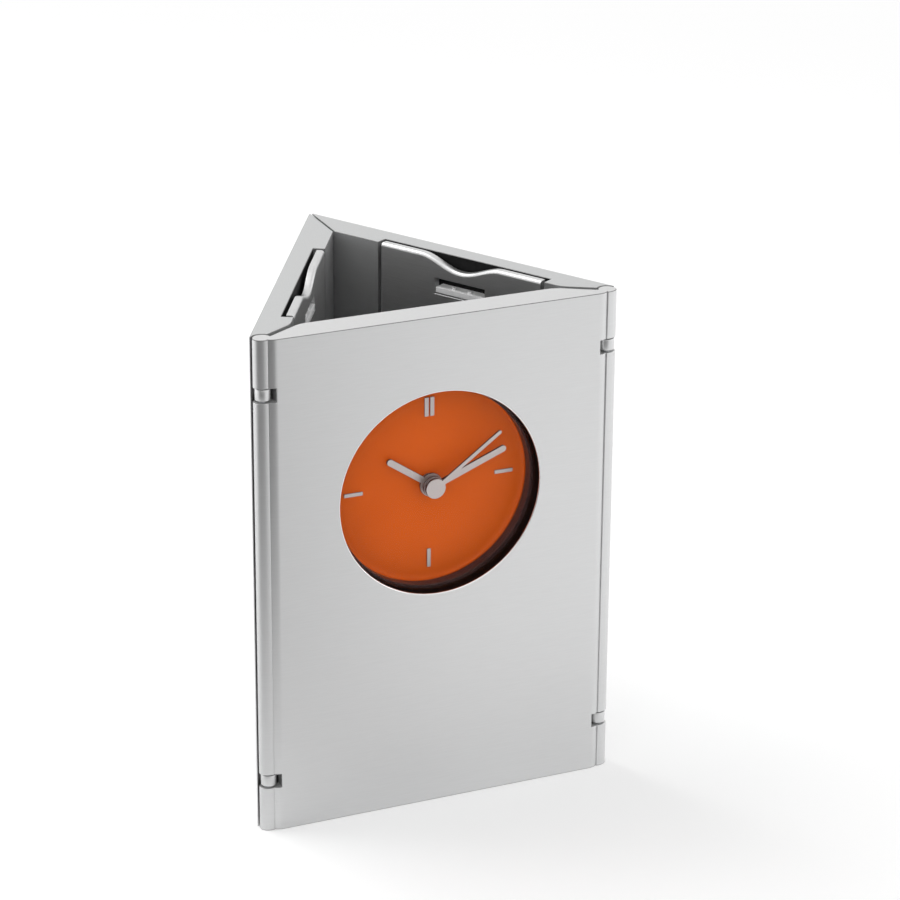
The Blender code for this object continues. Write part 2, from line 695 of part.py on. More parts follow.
def magnet_frame(high):
    """Looks out of the back mitre's face, at its middle."""
    depth = PANEL_THICK / 2
    along = PANEL_SIDE - 2 * BACK_HALF_GAP - depth * ROOT3
    place = RIGHT @ Vector((along, depth, high))
    return Matrix.Translation(place) @ Matrix.Rotation(radians(-90), 4, "Y")


def cut_magnet_seats(frame):
    deep = MAGNET_SINK + MAGNET_THICK + GAP
    for high in magnet_heights():
        cut(frame, post(MAGNET_R + JOIN, -deep, OVERRUN / 2), magnet_frame(high))


def magnets():
    made = []
    for end, high in zip(("bottom", "top"), magnet_heights()):
        disc = post(MAGNET_R, -MAGNET_SINK - MAGNET_THICK, -MAGNET_SINK)
        made.append(solid(f"right_magnet_{end}", disc, "steel", magnet_frame(high), HINGE))
    return made


def pane():
    low, high = pane_span()
    low = (low[0] + GAP, low[1] + GAP)
    high = (high[0] - GAP, high[1] - GAP)
    front = WINDOW_WALL + GAP
    return solid("right_pane", upright([rectangle(low, high)], front, front + PANE_THICK), "clear", RIGHT, HINGE)


def backing_outline():
    """The backing plate's edge, with the scooped thumb notch in its top."""
    start, end = backing_span()
    bottom = POCKET_LOW + GAP
    steps = [-1 + 2 * k / ARC_STEPS for k in range(ARC_STEPS + 1)]
    scoop = [(THUMB_ALONG - THUMB_HALF * t, HEIGHT - THUMB_DEEP * (1 + cos(pi * t)) / 2) for t in steps]
    return [(start, bottom), (end, bottom), (end, HEIGHT), *scoop, (start, HEIGHT)]


def backing():
    front = PANEL_THICK - BACKING_THICK
    window = rectangle((THUMB_ALONG - CATCH_HALF, CATCH_LOW), (THUMB_ALONG + CATCH_HALF, CATCH_HIGH))
    plate_mesh = upright([backing_outline(), window], front, PANEL_THICK)
    made = solid("right_backing", plate_mesh, "satin_silver", RIGHT, HINGE)
    middle = front + BACKING_THICK / 2
    low = (THUMB_ALONG - LUG_HALF, middle - LUG_THICK / 2, POCKET_LOW + GAP - LUG_TALL)
    high = (THUMB_ALONG + LUG_HALF, middle + LUG_THICK / 2, POCKET_LOW + 2 * GAP)
    join(made, block(low, high), RIGHT)
    return made


def side_panels():
    """Builds the right panel, and the left one as its mirror image."""
    look_of = {"frame": "satin_silver", "pane": "clear", "backing": "satin_silver"}
    for node in (side_frame(), pane(), backing(), *magnets()):
        name = node.name.replace("right", "left")
        look = look_of.get(name.removeprefix("left_"), "steel")
        place = FLIP @ Matrix.Translation(node.location)
        solid(name, evaluated(node), look, place, FLIP @ node.location)


def crystal():
    radius = HOLE_R - CRYSTAL_EDGE
    inner = radius - CRYSTAL_SKIRT
    outer = CASE_R - GAP
    back = CASE_FRONT + CRYSTAL_FOOT
    profile = [(0, -CRYSTAL_FRONT), (radius, -CRYSTAL_FRONT), (radius, -CASE_FRONT), (outer, -CASE_FRONT)]
    profile += [(outer, -back), (inner, -back)]
    profile += [(inner, -CRYSTAL_FRONT - CRYSTAL_THICK), (0, -CRYSTAL_FRONT - CRYSTAL_THICK)]
    solid("crystal", turned(profile, FACE_ROUND), "clear", CLOCK)


def dial_ring():
    rims = [circle(radius, steps=FACE_ROUND) for radius in (CASE_R - GAP, RING_R)]
    mesh = layer(rims, CASE_FRONT + CRYSTAL_FOOT + GAP, DIAL_DEPTH - DIAL_RIM - GAP)
    solid("dial_ring", mesh, "brown", CLOCK)


def dial():
    """The dial, with its rim curved up towards the ring."""
    outer, bore = CASE_R - GAP, HOUR_TUBE_R + DIAL_BORE_GAP
    rim = -DIAL_DEPTH + DIAL_RIM
    rise = arc((RING_R - DIAL_COVE, rim), DIAL_COVE, -pi / 2, 0, SOFT_STEPS, DIAL_RIM / DIAL_COVE)
    profile = [(bore, -DIAL_DEPTH), *rise, (outer, rim), (outer, -DIAL_BACK), (bore, -DIAL_BACK)]
    solid("dial", turned(profile, FACE_ROUND), "orange", CLOCK)


def hour_mark(name, turn, wide, aside=0.0):
    """One raised bar, turned clockwise from 12."""
    near = DIAL_DEPTH - MARK_GAP - MARK_THICK
    end = HOLE_R - MARK_INSET
    low = (aside - wide / 2, end - MARK_LONG)
    high = (aside + wide / 2, end)
    mesh = layer([rectangle(low, high)], near, near + MARK_THICK)
    solid(name, mesh, "hand_silver", CLOCK @ Matrix.Rotation(-turn, 4, "Z"))


def hour_marks():
    for name, turn in (("mark_3", pi / 2), ("mark_6", pi), ("mark_9", 3 * pi / 2)):
        hour_mark(name, turn, MARK_WIDE)
    aside = (MARK_DOUBLE + MARK_SPLIT) / 2
    hour_mark("mark_12_left", 0.0, MARK_DOUBLE, -aside)
    hour_mark("mark_12_right", 0.0, MARK_DOUBLE, aside)


def clock_case():
    """The can: a front flange, a tube, and an inner ledge between the rear plate and the cap."""
    outer, ledge = CASE_OUTER_R, CASE_R - CASE_LEDGE_WIDE
    ledge_back = CASE_LEDGE_FRONT + CASE_LEDGE_THICK
    flange_back = CASE_FRONT + CASE_FLANGE_THICK
    profile = [(CASE_R, -CASE_FRONT), (CASE_FLANGE_R, -CASE_FRONT), (CASE_FLANGE_R, -flange_back)]
    profile += [(outer, -flange_back), (outer, -CASE_BACK), (CASE_R, -CASE_BACK), (CASE_R, -ledge_back)]
    profile += [(ledge, -ledge_back), (ledge, -CASE_LEDGE_FRONT), (CASE_R, -CASE_LEDGE_FRONT)]
    solid("clock_case", turned(profile), "black_plastic", CLOCK)


def back_cap():
    holes = [circle(HATCH_R + GAP, CELL_AT), circle(SET_SHAFT_R + RUN, SET_AT, SMALL_ROUND)]
    mesh = layer([circle(CASE_R - GAP), *holes], CAP_FRONT, CAP_BACK)
    solid("back_cap", mesh, "black_plastic", CLOCK)


def battery_hatch():
    hatch = solid("battery_hatch", rod(HATCH_R, CAP_FRONT, CAP_BACK, CELL_AT, ROUND), "black_plastic", CLOCK)
    half, wide = HATCH_SLOT_LONG / 2, HATCH_SLOT_WIDE / 2
    low = (CELL_AT[0] - half, -wide, -CAP_BACK - OVERRUN)
    cut(hatch, block(low, (CELL_AT[0] + half, wide, -CAP_BACK + HATCH_SLOT_DEEP)), CLOCK)


def front_plate():
    """The movement's front plate, with three pillars and a bearing for each arbor."""
    bearings = [(CENTRE, HOUR_TUBE_R), (THIRD_AT, ARBOR_R), (MOTION_AT, ARBOR_R)]
    bearings += [(ROTOR_AT, ROTOR_ARBOR_R), (SET_AT, ARBOR_R)]
    holes = [circle(radius + RUN, at, SMALL_ROUND) for at, radius in bearings]
    mesh = layer([circle(CASE_R - GAP), *holes], PLATE_FRONT, PLATE_BACK)
    made = solid("movement_plate", mesh, "white_plastic", CLOCK)
    away = CASE_R - PILLAR_INSET
    for turn in PILLAR_TURNS:
        at = (away * cos(turn), away * sin(turn))
        join(made, rod(PILLAR_R, PLATE_BACK - JOIN, REAR_FRONT - GAP, at), CLOCK)


def rear_plate():
    bearings = [(CENTRE, SECONDS_ARBOR_R), (THIRD_AT, ARBOR_R), (STEP_AT, ARBOR_R)]
    bearings += [(ROTOR_AT, ROTOR_ARBOR_R), (SET_AT, SET_SHAFT_R)]
    holes = [circle(radius + RUN, at, SMALL_ROUND) for at, radius in bearings]
    holes.append(circle(CELL_R + GAP, CELL_AT))
    solid("rear_plate", layer([circle(CASE_R - GAP), *holes], REAR_FRONT, REAR_BACK), "white_plastic", CLOCK)


def stator_depth():
    return THIRD_LAYER - WHEEL_GAP / 2


def stator_heights():
    """The stator's top, the underside of its head, the top of its core and its lowest edge."""
    around = MAGNET_ROTOR_R + STATOR_HOLE_GAP + STATOR_RIM
    lowest = STATOR_FOOT - CASE_R
    return ROTOR_AT[1] + around, ROTOR_AT[1] - around, lowest + STATOR_CORE, lowest


def stator():
    """The stator, with the rotor's hole above and the coil's core below."""
    top, yoke, core, end = stator_heights()
    outer = rectangle((-STATOR_HALF, end), (STATOR_HALF, top))
    leg = STATOR_HALF - STATOR_LEG
    opening = rectangle((-leg, core), (leg, yoke))
    hole = circle(MAGNET_ROTOR_R + STATOR_HOLE_GAP, ROTOR_AT, SMALL_ROUND)
    near = stator_depth()
    solid("stator", layer([outer, opening, hole], near, near + STATOR_THICK), "steel", CLOCK)


def coil():
    """The coil on the stator's core, lying across the movement."""
    bore = hypot(STATOR_CORE, STATOR_THICK) / 2 + COIL_BORE_GAP
    half = STATOR_HALF - STATOR_LEG - COIL_END_GAP
    mesh = plate([circle(bore + COIL_WALL, steps=SMALL_ROUND), circle(bore, steps=SMALL_ROUND)], -half, half)
    middle = sum(stator_heights()[2:]) / 2
    place = Matrix.Translation((0, middle, -stator_depth() - STATOR_THICK / 2))
    solid("coil", mesh, "copper", CLOCK @ place @ Matrix.Rotation(radians(90), 4, "Y"))


def electronics():
    near = PLATE_BACK + GAP
    away = CASE_R - BOARD_INSET
    high = (-STATOR_HALF - BOARD_ASIDE, -BOARD_DROP)
    low = (-away * cos(BOARD_TURN), -away * sin(BOARD_TURN))
    board = layer([rectangle(low, high)], near, near + BOARD_THICK)
    solid("circuit_board", board, "green_board", CLOCK)
    middle = [(a + b) / 2 for a, b in zip(low, high)]
    depth = near + BOARD_THICK + MARK_GAP + QUARTZ_R
    place = Matrix.Translation((*middle, -depth)) @ Matrix.Rotation(radians(90), 4, "X")
    solid("quartz_can", post(QUARTZ_R, -QUARTZ_LONG / 2, QUARTZ_LONG / 2), "steel", CLOCK @ place)


def power():
    """The button cell and the leaf under and over it."""
    along = CELL_AT[0]
    solid("battery", rod(CELL_R, CELL_FRONT, CELL_BACK, CELL_AT, ROUND), "steel", CLOCK)
    half = CELL_R - MINUS_INSET
    near = PLATE_BACK + GAP
    under = rectangle((along - half, -MINUS_HALF_WIDE), (along + half, MINUS_HALF_WIDE))
    solid("contact_minus", layer([under], near, near + LEAF_THICK), "brass", CLOCK)
    half = CELL_R + GAP + LEAF_GRIP
    over = rectangle((along - LEAF_HALF_WIDE, -half), (along + LEAF_HALF_WIDE, half))
    near = REAR_BACK + LEAF_SEAT
    solid("contact_plus", layer([over], near, near + LEAF_THICK), "brass", CLOCK)


def pitch_radius(teeth, partner, away):
    return away * teeth / (teeth + partner)


def gear(teeth, radius, at, toward, tooth):
    """A gear's outline at a place, with a tooth or a gap facing its partner."""
    module, pitch = 2 * radius / teeth, 2 * pi / teeth
    root, tip = radius - ROOT_SHARE * module, radius + TIP_SHARE * module
    first = toward if tooth else toward + pitch / 2
    corners = ((root, -1 / 2), (tip, -TIP_HALF_SHARE), (tip, TIP_HALF_SHARE))
    turns = [(r, first + pitch * (k + share)) for k in range(teeth) for r, share in corners]
    return [(at[0] + r * cos(a), at[1] + r * sin(a)) for r, a in turns]


def pivot_at(at):
    return CLOCK @ Vector((*at, 0))


def wheel(name, outline, near, at, look):
    """A wheel one thickness deep, with its origin on its arbor."""
    return solid(name, layer([outline], near, near + WHEEL_THICK), look, CLOCK, pivot_at(at))


def add_arbor(node, radius, near, far, at):
    join(node, rod(radius, near, far, at), CLOCK)


def add_pinion(node, outline, near, far):
    join(node, layer([outline], near, far), CLOCK)


def seconds_train():
    """The rotor, the intermediate wheel and the seconds wheel."""
    big = pitch_radius(SECONDS_TEETH, STEP_PINION, STEP_AWAY)
    node = wheel("seconds_wheel", gear(SECONDS_TEETH, big, CENTRE, DOWN, False), SECONDS_LAYER, CENTRE, "brass")
    small = gear(SECONDS_PINION, pitch_radius(SECONDS_PINION, THIRD_TEETH, THIRD_AWAY), CENTRE, UP, True)
    add_pinion(node, small, THIRD_LAYER, SECONDS_LAYER + JOIN)
    add_arbor(node, SECONDS_ARBOR_R, SECOND_HAND_DEPTH + HAND_THICK, ARBOR_BACK, CENTRE)
    big = pitch_radius(STEP_TEETH, ROTOR_PINION, ROTOR_AWAY)
    toothed = gear(STEP_TEETH, big, STEP_AT, DOWN, False)
    node = wheel("intermediate_wheel", toothed, STEP_LAYER, STEP_AT, "white_plastic")
    small = gear(STEP_PINION, pitch_radius(STEP_PINION, SECONDS_TEETH, STEP_AWAY), STEP_AT, UP, True)
    add_pinion(node, small, SECONDS_LAYER, STEP_LAYER + JOIN)
    add_arbor(node, ARBOR_R, SECONDS_LAYER, ARBOR_BACK, STEP_AT)
    small = pitch_radius(ROTOR_PINION, STEP_TEETH, ROTOR_AWAY)
    node = wheel("rotor", gear(ROTOR_PINION, small, ROTOR_AT, UP, True), STEP_LAYER, ROTOR_AT, "steel")
    middle = stator_depth() + STATOR_THICK / 2
    magnet = rod(MAGNET_ROTOR_R, middle - MAGNET_ROTOR_LONG / 2, middle + MAGNET_ROTOR_LONG / 2, ROTOR_AT)
    join(node, magnet, CLOCK)
    add_arbor(node, ROTOR_ARBOR_R, ARBOR_FRONT, ARBOR_BACK, ROTOR_AT)


def minute_train():
    """The third wheel, and the minute wheel with its cannon pinion and tube."""
    big = pitch_radius(THIRD_TEETH, SECONDS_PINION, THIRD_AWAY)
    toothed = gear(THIRD_TEETH, big, THIRD_AT, DOWN, False)
    node = wheel("third_wheel", toothed, THIRD_LAYER, THIRD_AT, "white_plastic")
    small = gear(THIRD_PINION, pitch_radius(THIRD_PINION, MINUTE_TEETH, THIRD_AWAY), THIRD_AT, DOWN, True)
    add_pinion(node, small, MINUTE_LAYER, THIRD_LAYER + JOIN)
    add_arbor(node, ARBOR_R, ARBOR_FRONT, ARBOR_BACK, THIRD_AT)
    big = pitch_radius(MINUTE_TEETH, THIRD_PINION, THIRD_AWAY)
    node = wheel("minute_wheel", gear(MINUTE_TEETH, big, CENTRE, UP, False), MINUTE_LAYER, CENTRE, "brass")
    small = gear(CANNON_TEETH, pitch_radius(CANNON_TEETH, MOTION_TEETH, MOTION_AWAY), CENTRE, LEFTWARDS, True)
    add_pinion(node, small, MOTION_LAYER, MINUTE_LAYER + JOIN)
    add_arbor(node, CANNON_R, MINUTE_HAND_DEPTH - TUBE_STEP, MOTION_LAYER + JOIN, CENTRE)
    cut(node, rod(SECONDS_ARBOR_R + RUN, 0, MINUTE_LAYER + OVERRUN), CLOCK)


def motion_work():
    """The motion wheel, the hour wheel and the setting knob."""
    big = pitch_radius(MOTION_TEETH, CANNON_TEETH, MOTION_AWAY)
    toothed = gear(MOTION_TEETH, big, MOTION_AT, RIGHTWARDS, False)
    node = wheel("motion_wheel", toothed, MOTION_LAYER, MOTION_AT, "white_plastic")
    small = gear(MOTION_PINION, pitch_radius(MOTION_PINION, HOUR_TEETH, MOTION_AWAY), MOTION_AT, RIGHTWARDS, True)
    add_pinion(node, small, HOUR_LAYER, MOTION_LAYER + JOIN)
    add_arbor(node, ARBOR_R, ARBOR_FRONT, MOTION_LAYER + WHEEL_THICK + JOIN, MOTION_AT)
    big = pitch_radius(HOUR_TEETH, MOTION_PINION, MOTION_AWAY)
    toothed = gear(HOUR_TEETH, big, CENTRE, LEFTWARDS, False)
    node = wheel("hour_wheel", toothed, HOUR_LAYER, CENTRE, "white_plastic")
    add_arbor(node, HOUR_TUBE_R, HOUR_HAND_DEPTH - TUBE_STEP, HOUR_LAYER + JOIN, CENTRE)
    cut(node, rod(CANNON_R + RUN, 0, HOUR_LAYER + OVERRUN), CLOCK)
    small = pitch_radius(SET_TEETH, MOTION_TEETH, MOTION_AWAY)
    toothed = gear(SET_TEETH, small, SET_AT, RIGHTWARDS, True)
    node = wheel("set_knob", toothed, MOTION_LAYER, SET_AT, "black_plastic")
    add_arbor(node, SET_SHAFT_R, MOTION_LAYER + WHEEL_THICK - JOIN, CASE_BACK + JOIN + GAP, SET_AT)
    add_arbor(node, ARBOR_R, ARBOR_FRONT, MOTION_LAYER + JOIN, SET_AT)
    ribs = [KNOB_R - KNOB_RIB * (k % 2) for k in range(2 * KNOB_RIBS)]
    turns = [pi * k / KNOB_RIBS for k in range(len(ribs))]
    outline = [(SET_AT[0] + r * cos(turn), SET_AT[1] + r * sin(turn)) for turn, r in zip(turns, ribs)]
    join(node, layer([outline], CASE_BACK + GAP, CASE_BACK + GAP + KNOB_THICK), CLOCK)


def hand_outline(hub, wide, reach):
    """A hub with a straight bar and a round tip, pointing at 12."""
    half = wide / 2
    side = asin(half / hub)
    ring = arc(CENTRE, hub, pi / 2 + side, pi / 2 - side + 2 * pi, ARC_STEPS)
    return ring + arc((0, reach - half), half, 0, pi, SOFT_STEPS)


def hand(name, outline, bore, near, thick, angle):
    """A hand at its place, turned clockwise from 12, with a bore for its arbor."""
    mesh = layer([outline, circle(bore, steps=SMALL_ROUND)], near, near + thick)
    solid(name, mesh, "hand_silver", CLOCK @ Matrix.Rotation(-angle, 4, "Z"), pivot_at(CENTRE))


def hands():
    bore = HOUR_TUBE_R + RUN
    outline = hand_outline(bore + HOUR_HUB_WALL, HAND_WIDE, HOUR_REACH)
    hand("hour_hand", outline, bore, HOUR_HAND_DEPTH, HAND_THICK, HOUR_ANGLE)
    bore = CANNON_R + RUN
    outline = hand_outline(bore + MINUTE_HUB_WALL, HAND_WIDE, HOLE_R - MINUTE_INSET)
    hand("minute_hand", outline, bore, MINUTE_HAND_DEPTH, HAND_THICK, MINUTE_ANGLE)
    turn = CLOCK @ Matrix.Rotation(-SECOND_ANGLE, 4, "Z")
    cap = rod(CAP_HUB_R, SECOND_HAND_DEPTH, SECOND_HAND_DEPTH + CAP_HUB_THICK, steps=2 * SMALL_ROUND)
    node = solid("second_hand", cap, "hand_silver", turn, pivot_at(CENTRE))
    outline = hand_outline(CAP_HUB_R - JOIN, SECOND_WIDE, HOLE_R - SECOND_INSET)
    far = SECOND_HAND_DEPTH + CAP_HUB_THICK - JOIN
    join(node, layer([outline], far - HAND_THICK / 2, far), turn)
    bore_from = SECOND_HAND_DEPTH + HAND_THICK - RUN
    cut(node, rod(SECONDS_ARBOR_R + RUN, bore_from, SECOND_HAND_DEPTH + OVERRUN), turn)


def build():
    start_scene()
    front_shell()
    hinge_pins()
    back_cover()
    cover_screws()
    floor_plate()
    side_panels()
    crystal()
    dial_ring()
    dial()
    hour_marks()
    clock_case()
    back_cap()
    battery_hatch()
    front_plate()
    rear_plate()
    stator()
    coil()
    electronics()
    power()
    seconds_train()
    minute_train()
    motion_work()
    hands()


build()
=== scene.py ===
import json
from math import asin, cos, pi, radians, sin, sqrt, tan

import bmesh
import bpy
from mathutils import Matrix, Vector


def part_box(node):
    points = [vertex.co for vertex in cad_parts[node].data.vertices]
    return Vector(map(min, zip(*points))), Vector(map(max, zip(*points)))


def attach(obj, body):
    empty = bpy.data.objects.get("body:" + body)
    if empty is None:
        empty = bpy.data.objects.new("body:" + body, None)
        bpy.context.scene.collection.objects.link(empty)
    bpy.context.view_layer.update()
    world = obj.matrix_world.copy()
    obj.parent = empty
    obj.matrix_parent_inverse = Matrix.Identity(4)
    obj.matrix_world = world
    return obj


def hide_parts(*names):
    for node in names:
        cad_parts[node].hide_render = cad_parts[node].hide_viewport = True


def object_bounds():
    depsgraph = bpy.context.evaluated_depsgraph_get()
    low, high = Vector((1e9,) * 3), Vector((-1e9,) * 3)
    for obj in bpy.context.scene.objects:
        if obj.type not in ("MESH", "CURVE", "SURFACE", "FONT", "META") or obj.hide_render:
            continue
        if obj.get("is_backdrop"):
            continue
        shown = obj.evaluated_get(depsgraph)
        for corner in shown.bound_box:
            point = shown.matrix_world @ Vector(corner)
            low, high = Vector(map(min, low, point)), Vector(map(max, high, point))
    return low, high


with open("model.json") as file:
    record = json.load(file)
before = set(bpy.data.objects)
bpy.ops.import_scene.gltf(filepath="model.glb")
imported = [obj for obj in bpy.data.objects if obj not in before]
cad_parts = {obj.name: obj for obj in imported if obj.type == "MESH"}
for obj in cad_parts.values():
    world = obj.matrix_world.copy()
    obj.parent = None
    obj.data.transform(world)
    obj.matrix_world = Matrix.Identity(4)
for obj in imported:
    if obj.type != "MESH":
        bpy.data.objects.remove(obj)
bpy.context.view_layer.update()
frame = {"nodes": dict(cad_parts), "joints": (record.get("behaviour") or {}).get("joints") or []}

# Front panel. An aluminium extrusion with a round bead and a softer roll down each edge, satin anodised.
# It is sawn to length, bored for the clock, and notched where the side panels' knuckles turn on its pins.
joints = {joint["name"]: joint for joint in frame["joints"]}
hinge = Vector(joints["right_panel_hinge"]["pos_m"])
face_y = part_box("front_shell")[0].y
cup_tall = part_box("front_shell")[1].z
hinge_from_corner = 0.003747
panel_wide = 2 * (hinge.x + hinge_from_corner)
panel_thick = 0.0064
hinge_deep = hinge.y - face_y
front_place = Matrix.Translation((-panel_wide / 2, face_y, 0))
root3 = sqrt(3)
curve_step, fewest_steps = radians(7), 4
overrun = 0.002
hair, weld = 0.00001, 0.000001
square_on = 0.99


def facing(x, z):
    """A place on the front face, where the depth behind the face is a negative height."""
    return Matrix.Translation((x, face_y, z)) @ Matrix.Rotation(radians(90), 4, "X")


clock_high = 0.0645
clock_place = facing(0, clock_high)


def corner(work, last, place):
    """Draws on to a corner of an outline."""
    new = bmesh.ops.extrude_vert_indiv(work, verts=[last])["verts"][0]
    new.co = (*place, 0)
    return new


def swing(work, last, centre, angle, stretch=1.0):
    """Draws on round a centre, and may stretch the curve in its first direction."""
    before = set(work.verts)
    steps = max(fewest_steps, round(abs(angle) / curve_step))
    axis = (0, 0, 1 if angle > 0 else -1)
    swept = bmesh.ops.spin(work, geom=[last], cent=(*centre, 0), axis=axis, angle=abs(angle), steps=steps)
    if stretch != 1.0:
        drawn = [vert for vert in work.verts if vert not in before]
        back = Matrix.Translation((-centre[0], -centre[1], 0))
        bmesh.ops.scale(work, vec=(stretch, 1, 1), space=back, verts=drawn)
    return next(part for part in swept["geom_last"] if isinstance(part, bmesh.types.BMVert))


def outline(strokes, mirror_at=None):
    """A closed outline of corners, and of swings as a centre, an angle and a stretch."""
    work = bmesh.new()
    first = last = bmesh.ops.create_vert(work, co=(*strokes[0], 0))["vert"][0]
    for stroke in strokes[1:]:
        last = swing(work, last, *stroke) if isinstance(stroke[0], tuple) else corner(work, last, stroke)
    if mirror_at is None:
        bmesh.ops.contextual_create(work, geom=[last, first])
    else:
        halves = work.verts[:] + work.edges[:]
        middle = Matrix.Translation((-mirror_at, 0, 0))
        bmesh.ops.mirror(work, geom=halves, matrix=middle, merge_dist=hair, axis="X")
        bmesh.ops.remove_doubles(work, verts=work.verts, dist=hair)
    return work


def risen(work, low, high):
    """The outline filled in and raised into a solid between two heights."""
    bmesh.ops.triangle_fill(work, edges=work.edges, use_beauty=True, normal=(0, 0, 1))
    bmesh.ops.dissolve_limit(work, angle_limit=radians(1), verts=work.verts, edges=work.edges)
    bmesh.ops.translate(work, vec=(0, 0, low), verts=work.verts)
    raised = bmesh.ops.extrude_face_region(work, geom=work.faces)
    tops = [part for part in raised["geom"] if isinstance(part, bmesh.types.BMVert)]
    bmesh.ops.translate(work, vec=(0, 0, high - low), verts=tops)
    bmesh.ops.recalc_face_normals(work, faces=work.faces)
    return work


def laid(work, place):
    """The shape moved to its place."""
    bmesh.ops.transform(work, matrix=place, verts=work.verts)
    if place.is_negative:
        bmesh.ops.reverse_faces(work, faces=work.faces)
    return work


def box(low, high, place=Matrix()):
    """A block between two corners."""
    work = bmesh.new()
    low, high = Vector(low), Vector(high)
    between = Matrix.Translation((low + high) / 2) @ Matrix.Diagonal((*(high - low), 1))
    bmesh.ops.create_cube(work, size=1, matrix=between)
    return laid(work, place)


def peg(radius, low, high, place=Matrix(), centre=(0, 0), steps=48):
    """A round bar along Z between two heights."""
    work = bmesh.new()
    middle = Matrix.Translation((*centre, (low + high) / 2))
    bmesh.ops.create_cone(
        work, cap_ends=True, segments=steps, radius1=radius, radius2=radius, depth=high - low, matrix=middle
    )
    return laid(work, place)


def shown(name, work):
    """An object with the shape as its mesh."""
    mesh = bpy.data.meshes.new(name)
    work.to_mesh(mesh)
    work.free()
    piece = bpy.data.objects.new(name, mesh)
    bpy.context.scene.collection.objects.link(piece)
    return piece


def worked(work, tools, operation="DIFFERENCE"):
    """The shape with each tool's shape cut away or joined on."""
    piece = shown("blank", work)
    spent = [piece]
    for tool in tools:
        cutter = shown("tool", tool)
        stroke = piece.modifiers.new("work", "BOOLEAN")
        stroke.operation = operation
        stroke.object = cutter
        spent.append(cutter)
    mesh = bpy.data.meshes.new_from_object(piece.evaluated_get(bpy.context.evaluated_depsgraph_get()))
    result = bmesh.new()
    result.from_mesh(mesh)
    bmesh.ops.remove_doubles(result, verts=result.verts, dist=weld)
    bmesh.ops.dissolve_degenerate(result, dist=weld, edges=result.edges)
    for thing in spent:
        bpy.data.objects.remove(thing)
    return result


def eased(work, width, angle=50, chosen=None, segments=2):
    """Rounds the outside edges that are sharper than an angle in degrees."""
    sharp = [
        edge
        for edge in work.edges
        if edge.is_manifold and edge.is_convex and edge.calc_face_angle() > radians(angle)
        and (chosen is None or chosen(edge))
    ]
    bmesh.ops.bevel(
        work, geom=sharp, offset=width, segments=segments, profile=0.5, affect="EDGES", material=-1,
        clamp_overlap=False,
    )
    return work


def finished(name, work, looks, body, stands_for):
    """Makes a piece of the shape, with its materials, and fixes it to its body."""
    piece = shown(name, work)
    for look in looks:
        piece.data.materials.append(look)
    piece.data.shade_smooth()
    piece.data.set_sharp_from_angle(angle=radians(35))
    shading = piece.modifiers.new("shading", "WEIGHTED_NORMAL")
    shading.keep_sharp = True
    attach(piece, body)
    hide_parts(stands_for)


def wired(tree, kind, source, socket):
    """A new node that is fed from another one's output."""
    node = tree.nodes.new(kind)
    tree.links.new(source, node.inputs[socket])
    return node


def fade(tree, value, near, far, start, end, kind="LINEAR"):
    """A change from one strength to another between two values."""
    change = wired(tree, "ShaderNodeMapRange", value, "Value")
    change.interpolation_type = kind
    for socket, number in (("From Min", near), ("From Max", far), ("To Min", start), ("To Max", end)):
        change.inputs[socket].default_value = number
    return change.outputs["Result"]


def three(value):
    """Three numbers, or one number three times."""
    return value if isinstance(value, tuple) else (value, value, value)


def finish(name, dark, light, rough, grain, metal=0.0, turn=0.0, bump=0.0, spread=0.04, shine=0.5):
    """A surface whose shade and gloss drift along a grain of one fineness, or of one in each direction."""
    look = bpy.data.materials.new(name)
    look.use_nodes = True
    tree = look.node_tree
    shader = tree.nodes["Principled BSDF"]
    shader.inputs["Metallic"].default_value = metal
    shader.inputs["Specular IOR Level"].default_value = shine
    place = tree.nodes.new("ShaderNodeTexCoord")
    along = wired(tree, "ShaderNodeMapping", place.outputs["Object"], "Vector")
    along.inputs["Rotation"].default_value = (0, 0, turn)
    stretched = wired(tree, "ShaderNodeMapping", along.outputs["Vector"], "Vector")
    stretched.inputs["Scale"].default_value = three(grain)
    noise = wired(tree, "ShaderNodeTexNoise", stretched.outputs["Vector"], "Vector")
    noise.inputs["Scale"].default_value = 1.0
    noise.inputs["Detail"].default_value = 4.0
    drift = noise.outputs["Fac"]
    shades = wired(tree, "ShaderNodeValToRGB", drift, "Fac")
    for stop, position, colour in zip(shades.color_ramp.elements, (0.3, 0.7), (dark, light)):
        stop.position = position
        stop.color = (*three(colour), 1)
    tree.links.new(shades.outputs["Color"], shader.inputs["Base Color"])
    tree.links.new(fade(tree, drift, 0.0, 1.0, rough - spread, rough + spread), shader.inputs["Roughness"])
    if bump:
        relief = wired(tree, "ShaderNodeBump", drift, "Height")
        relief.inputs["Distance"].default_value = bump
        relief.inputs["Strength"].default_value = 0.3
        tree.links.new(relief.outputs["Normal"], shader.inputs["Normal"])
    return look


silver = ((0.66, 0.663, 0.665), (0.685, 0.688, 0.69))
brushed = {"grain": (260, 260, 7000), "metal": 0.9}
anodised = {"rough": 0.36, "bump": 0.000006, **brushed}
saw_marks = {"grain": (900, 9000, 900), "bump": 0.00001}
satin_front = finish("satin_front", *silver, **anodised)
sawn_front = finish("sawn_front", 0.60, 0.64, rough=0.5, metal=0.6, **saw_marks)
# The eased edges round the sawn ends are painted dark as painted shade: a dark line where the top meets the
# face, and at the foot.
painted_edge_shade = finish("painted_edge_shade", 0.20, 0.26, rough=0.5, grain=900, metal=0.6)
# The bore of the clock's opening is painted near-black as painted shade, for the shadow and dark reflection
# in its wall.
painted_bore_shade = ((0.005, 0.004, 0.004), (0.008, 0.006, 0.006))
painted_shade_black = finish("painted_shade_black", *painted_bore_shade, rough=0.5, grain=900, shine=0.1)
# The turned edge of the clock's opening is polished, and is also painted lighter than the face as a painted
# highlight.
polished_edge_highlight = finish("polished_edge_highlight", 0.80, 0.88, rough=0.2, grain=900, metal=0.9)
plain_look, sawn_look, edge_shade_look, shade_black_look, polish_and_highlight_look = range(5)
edge_soft = 0.00012


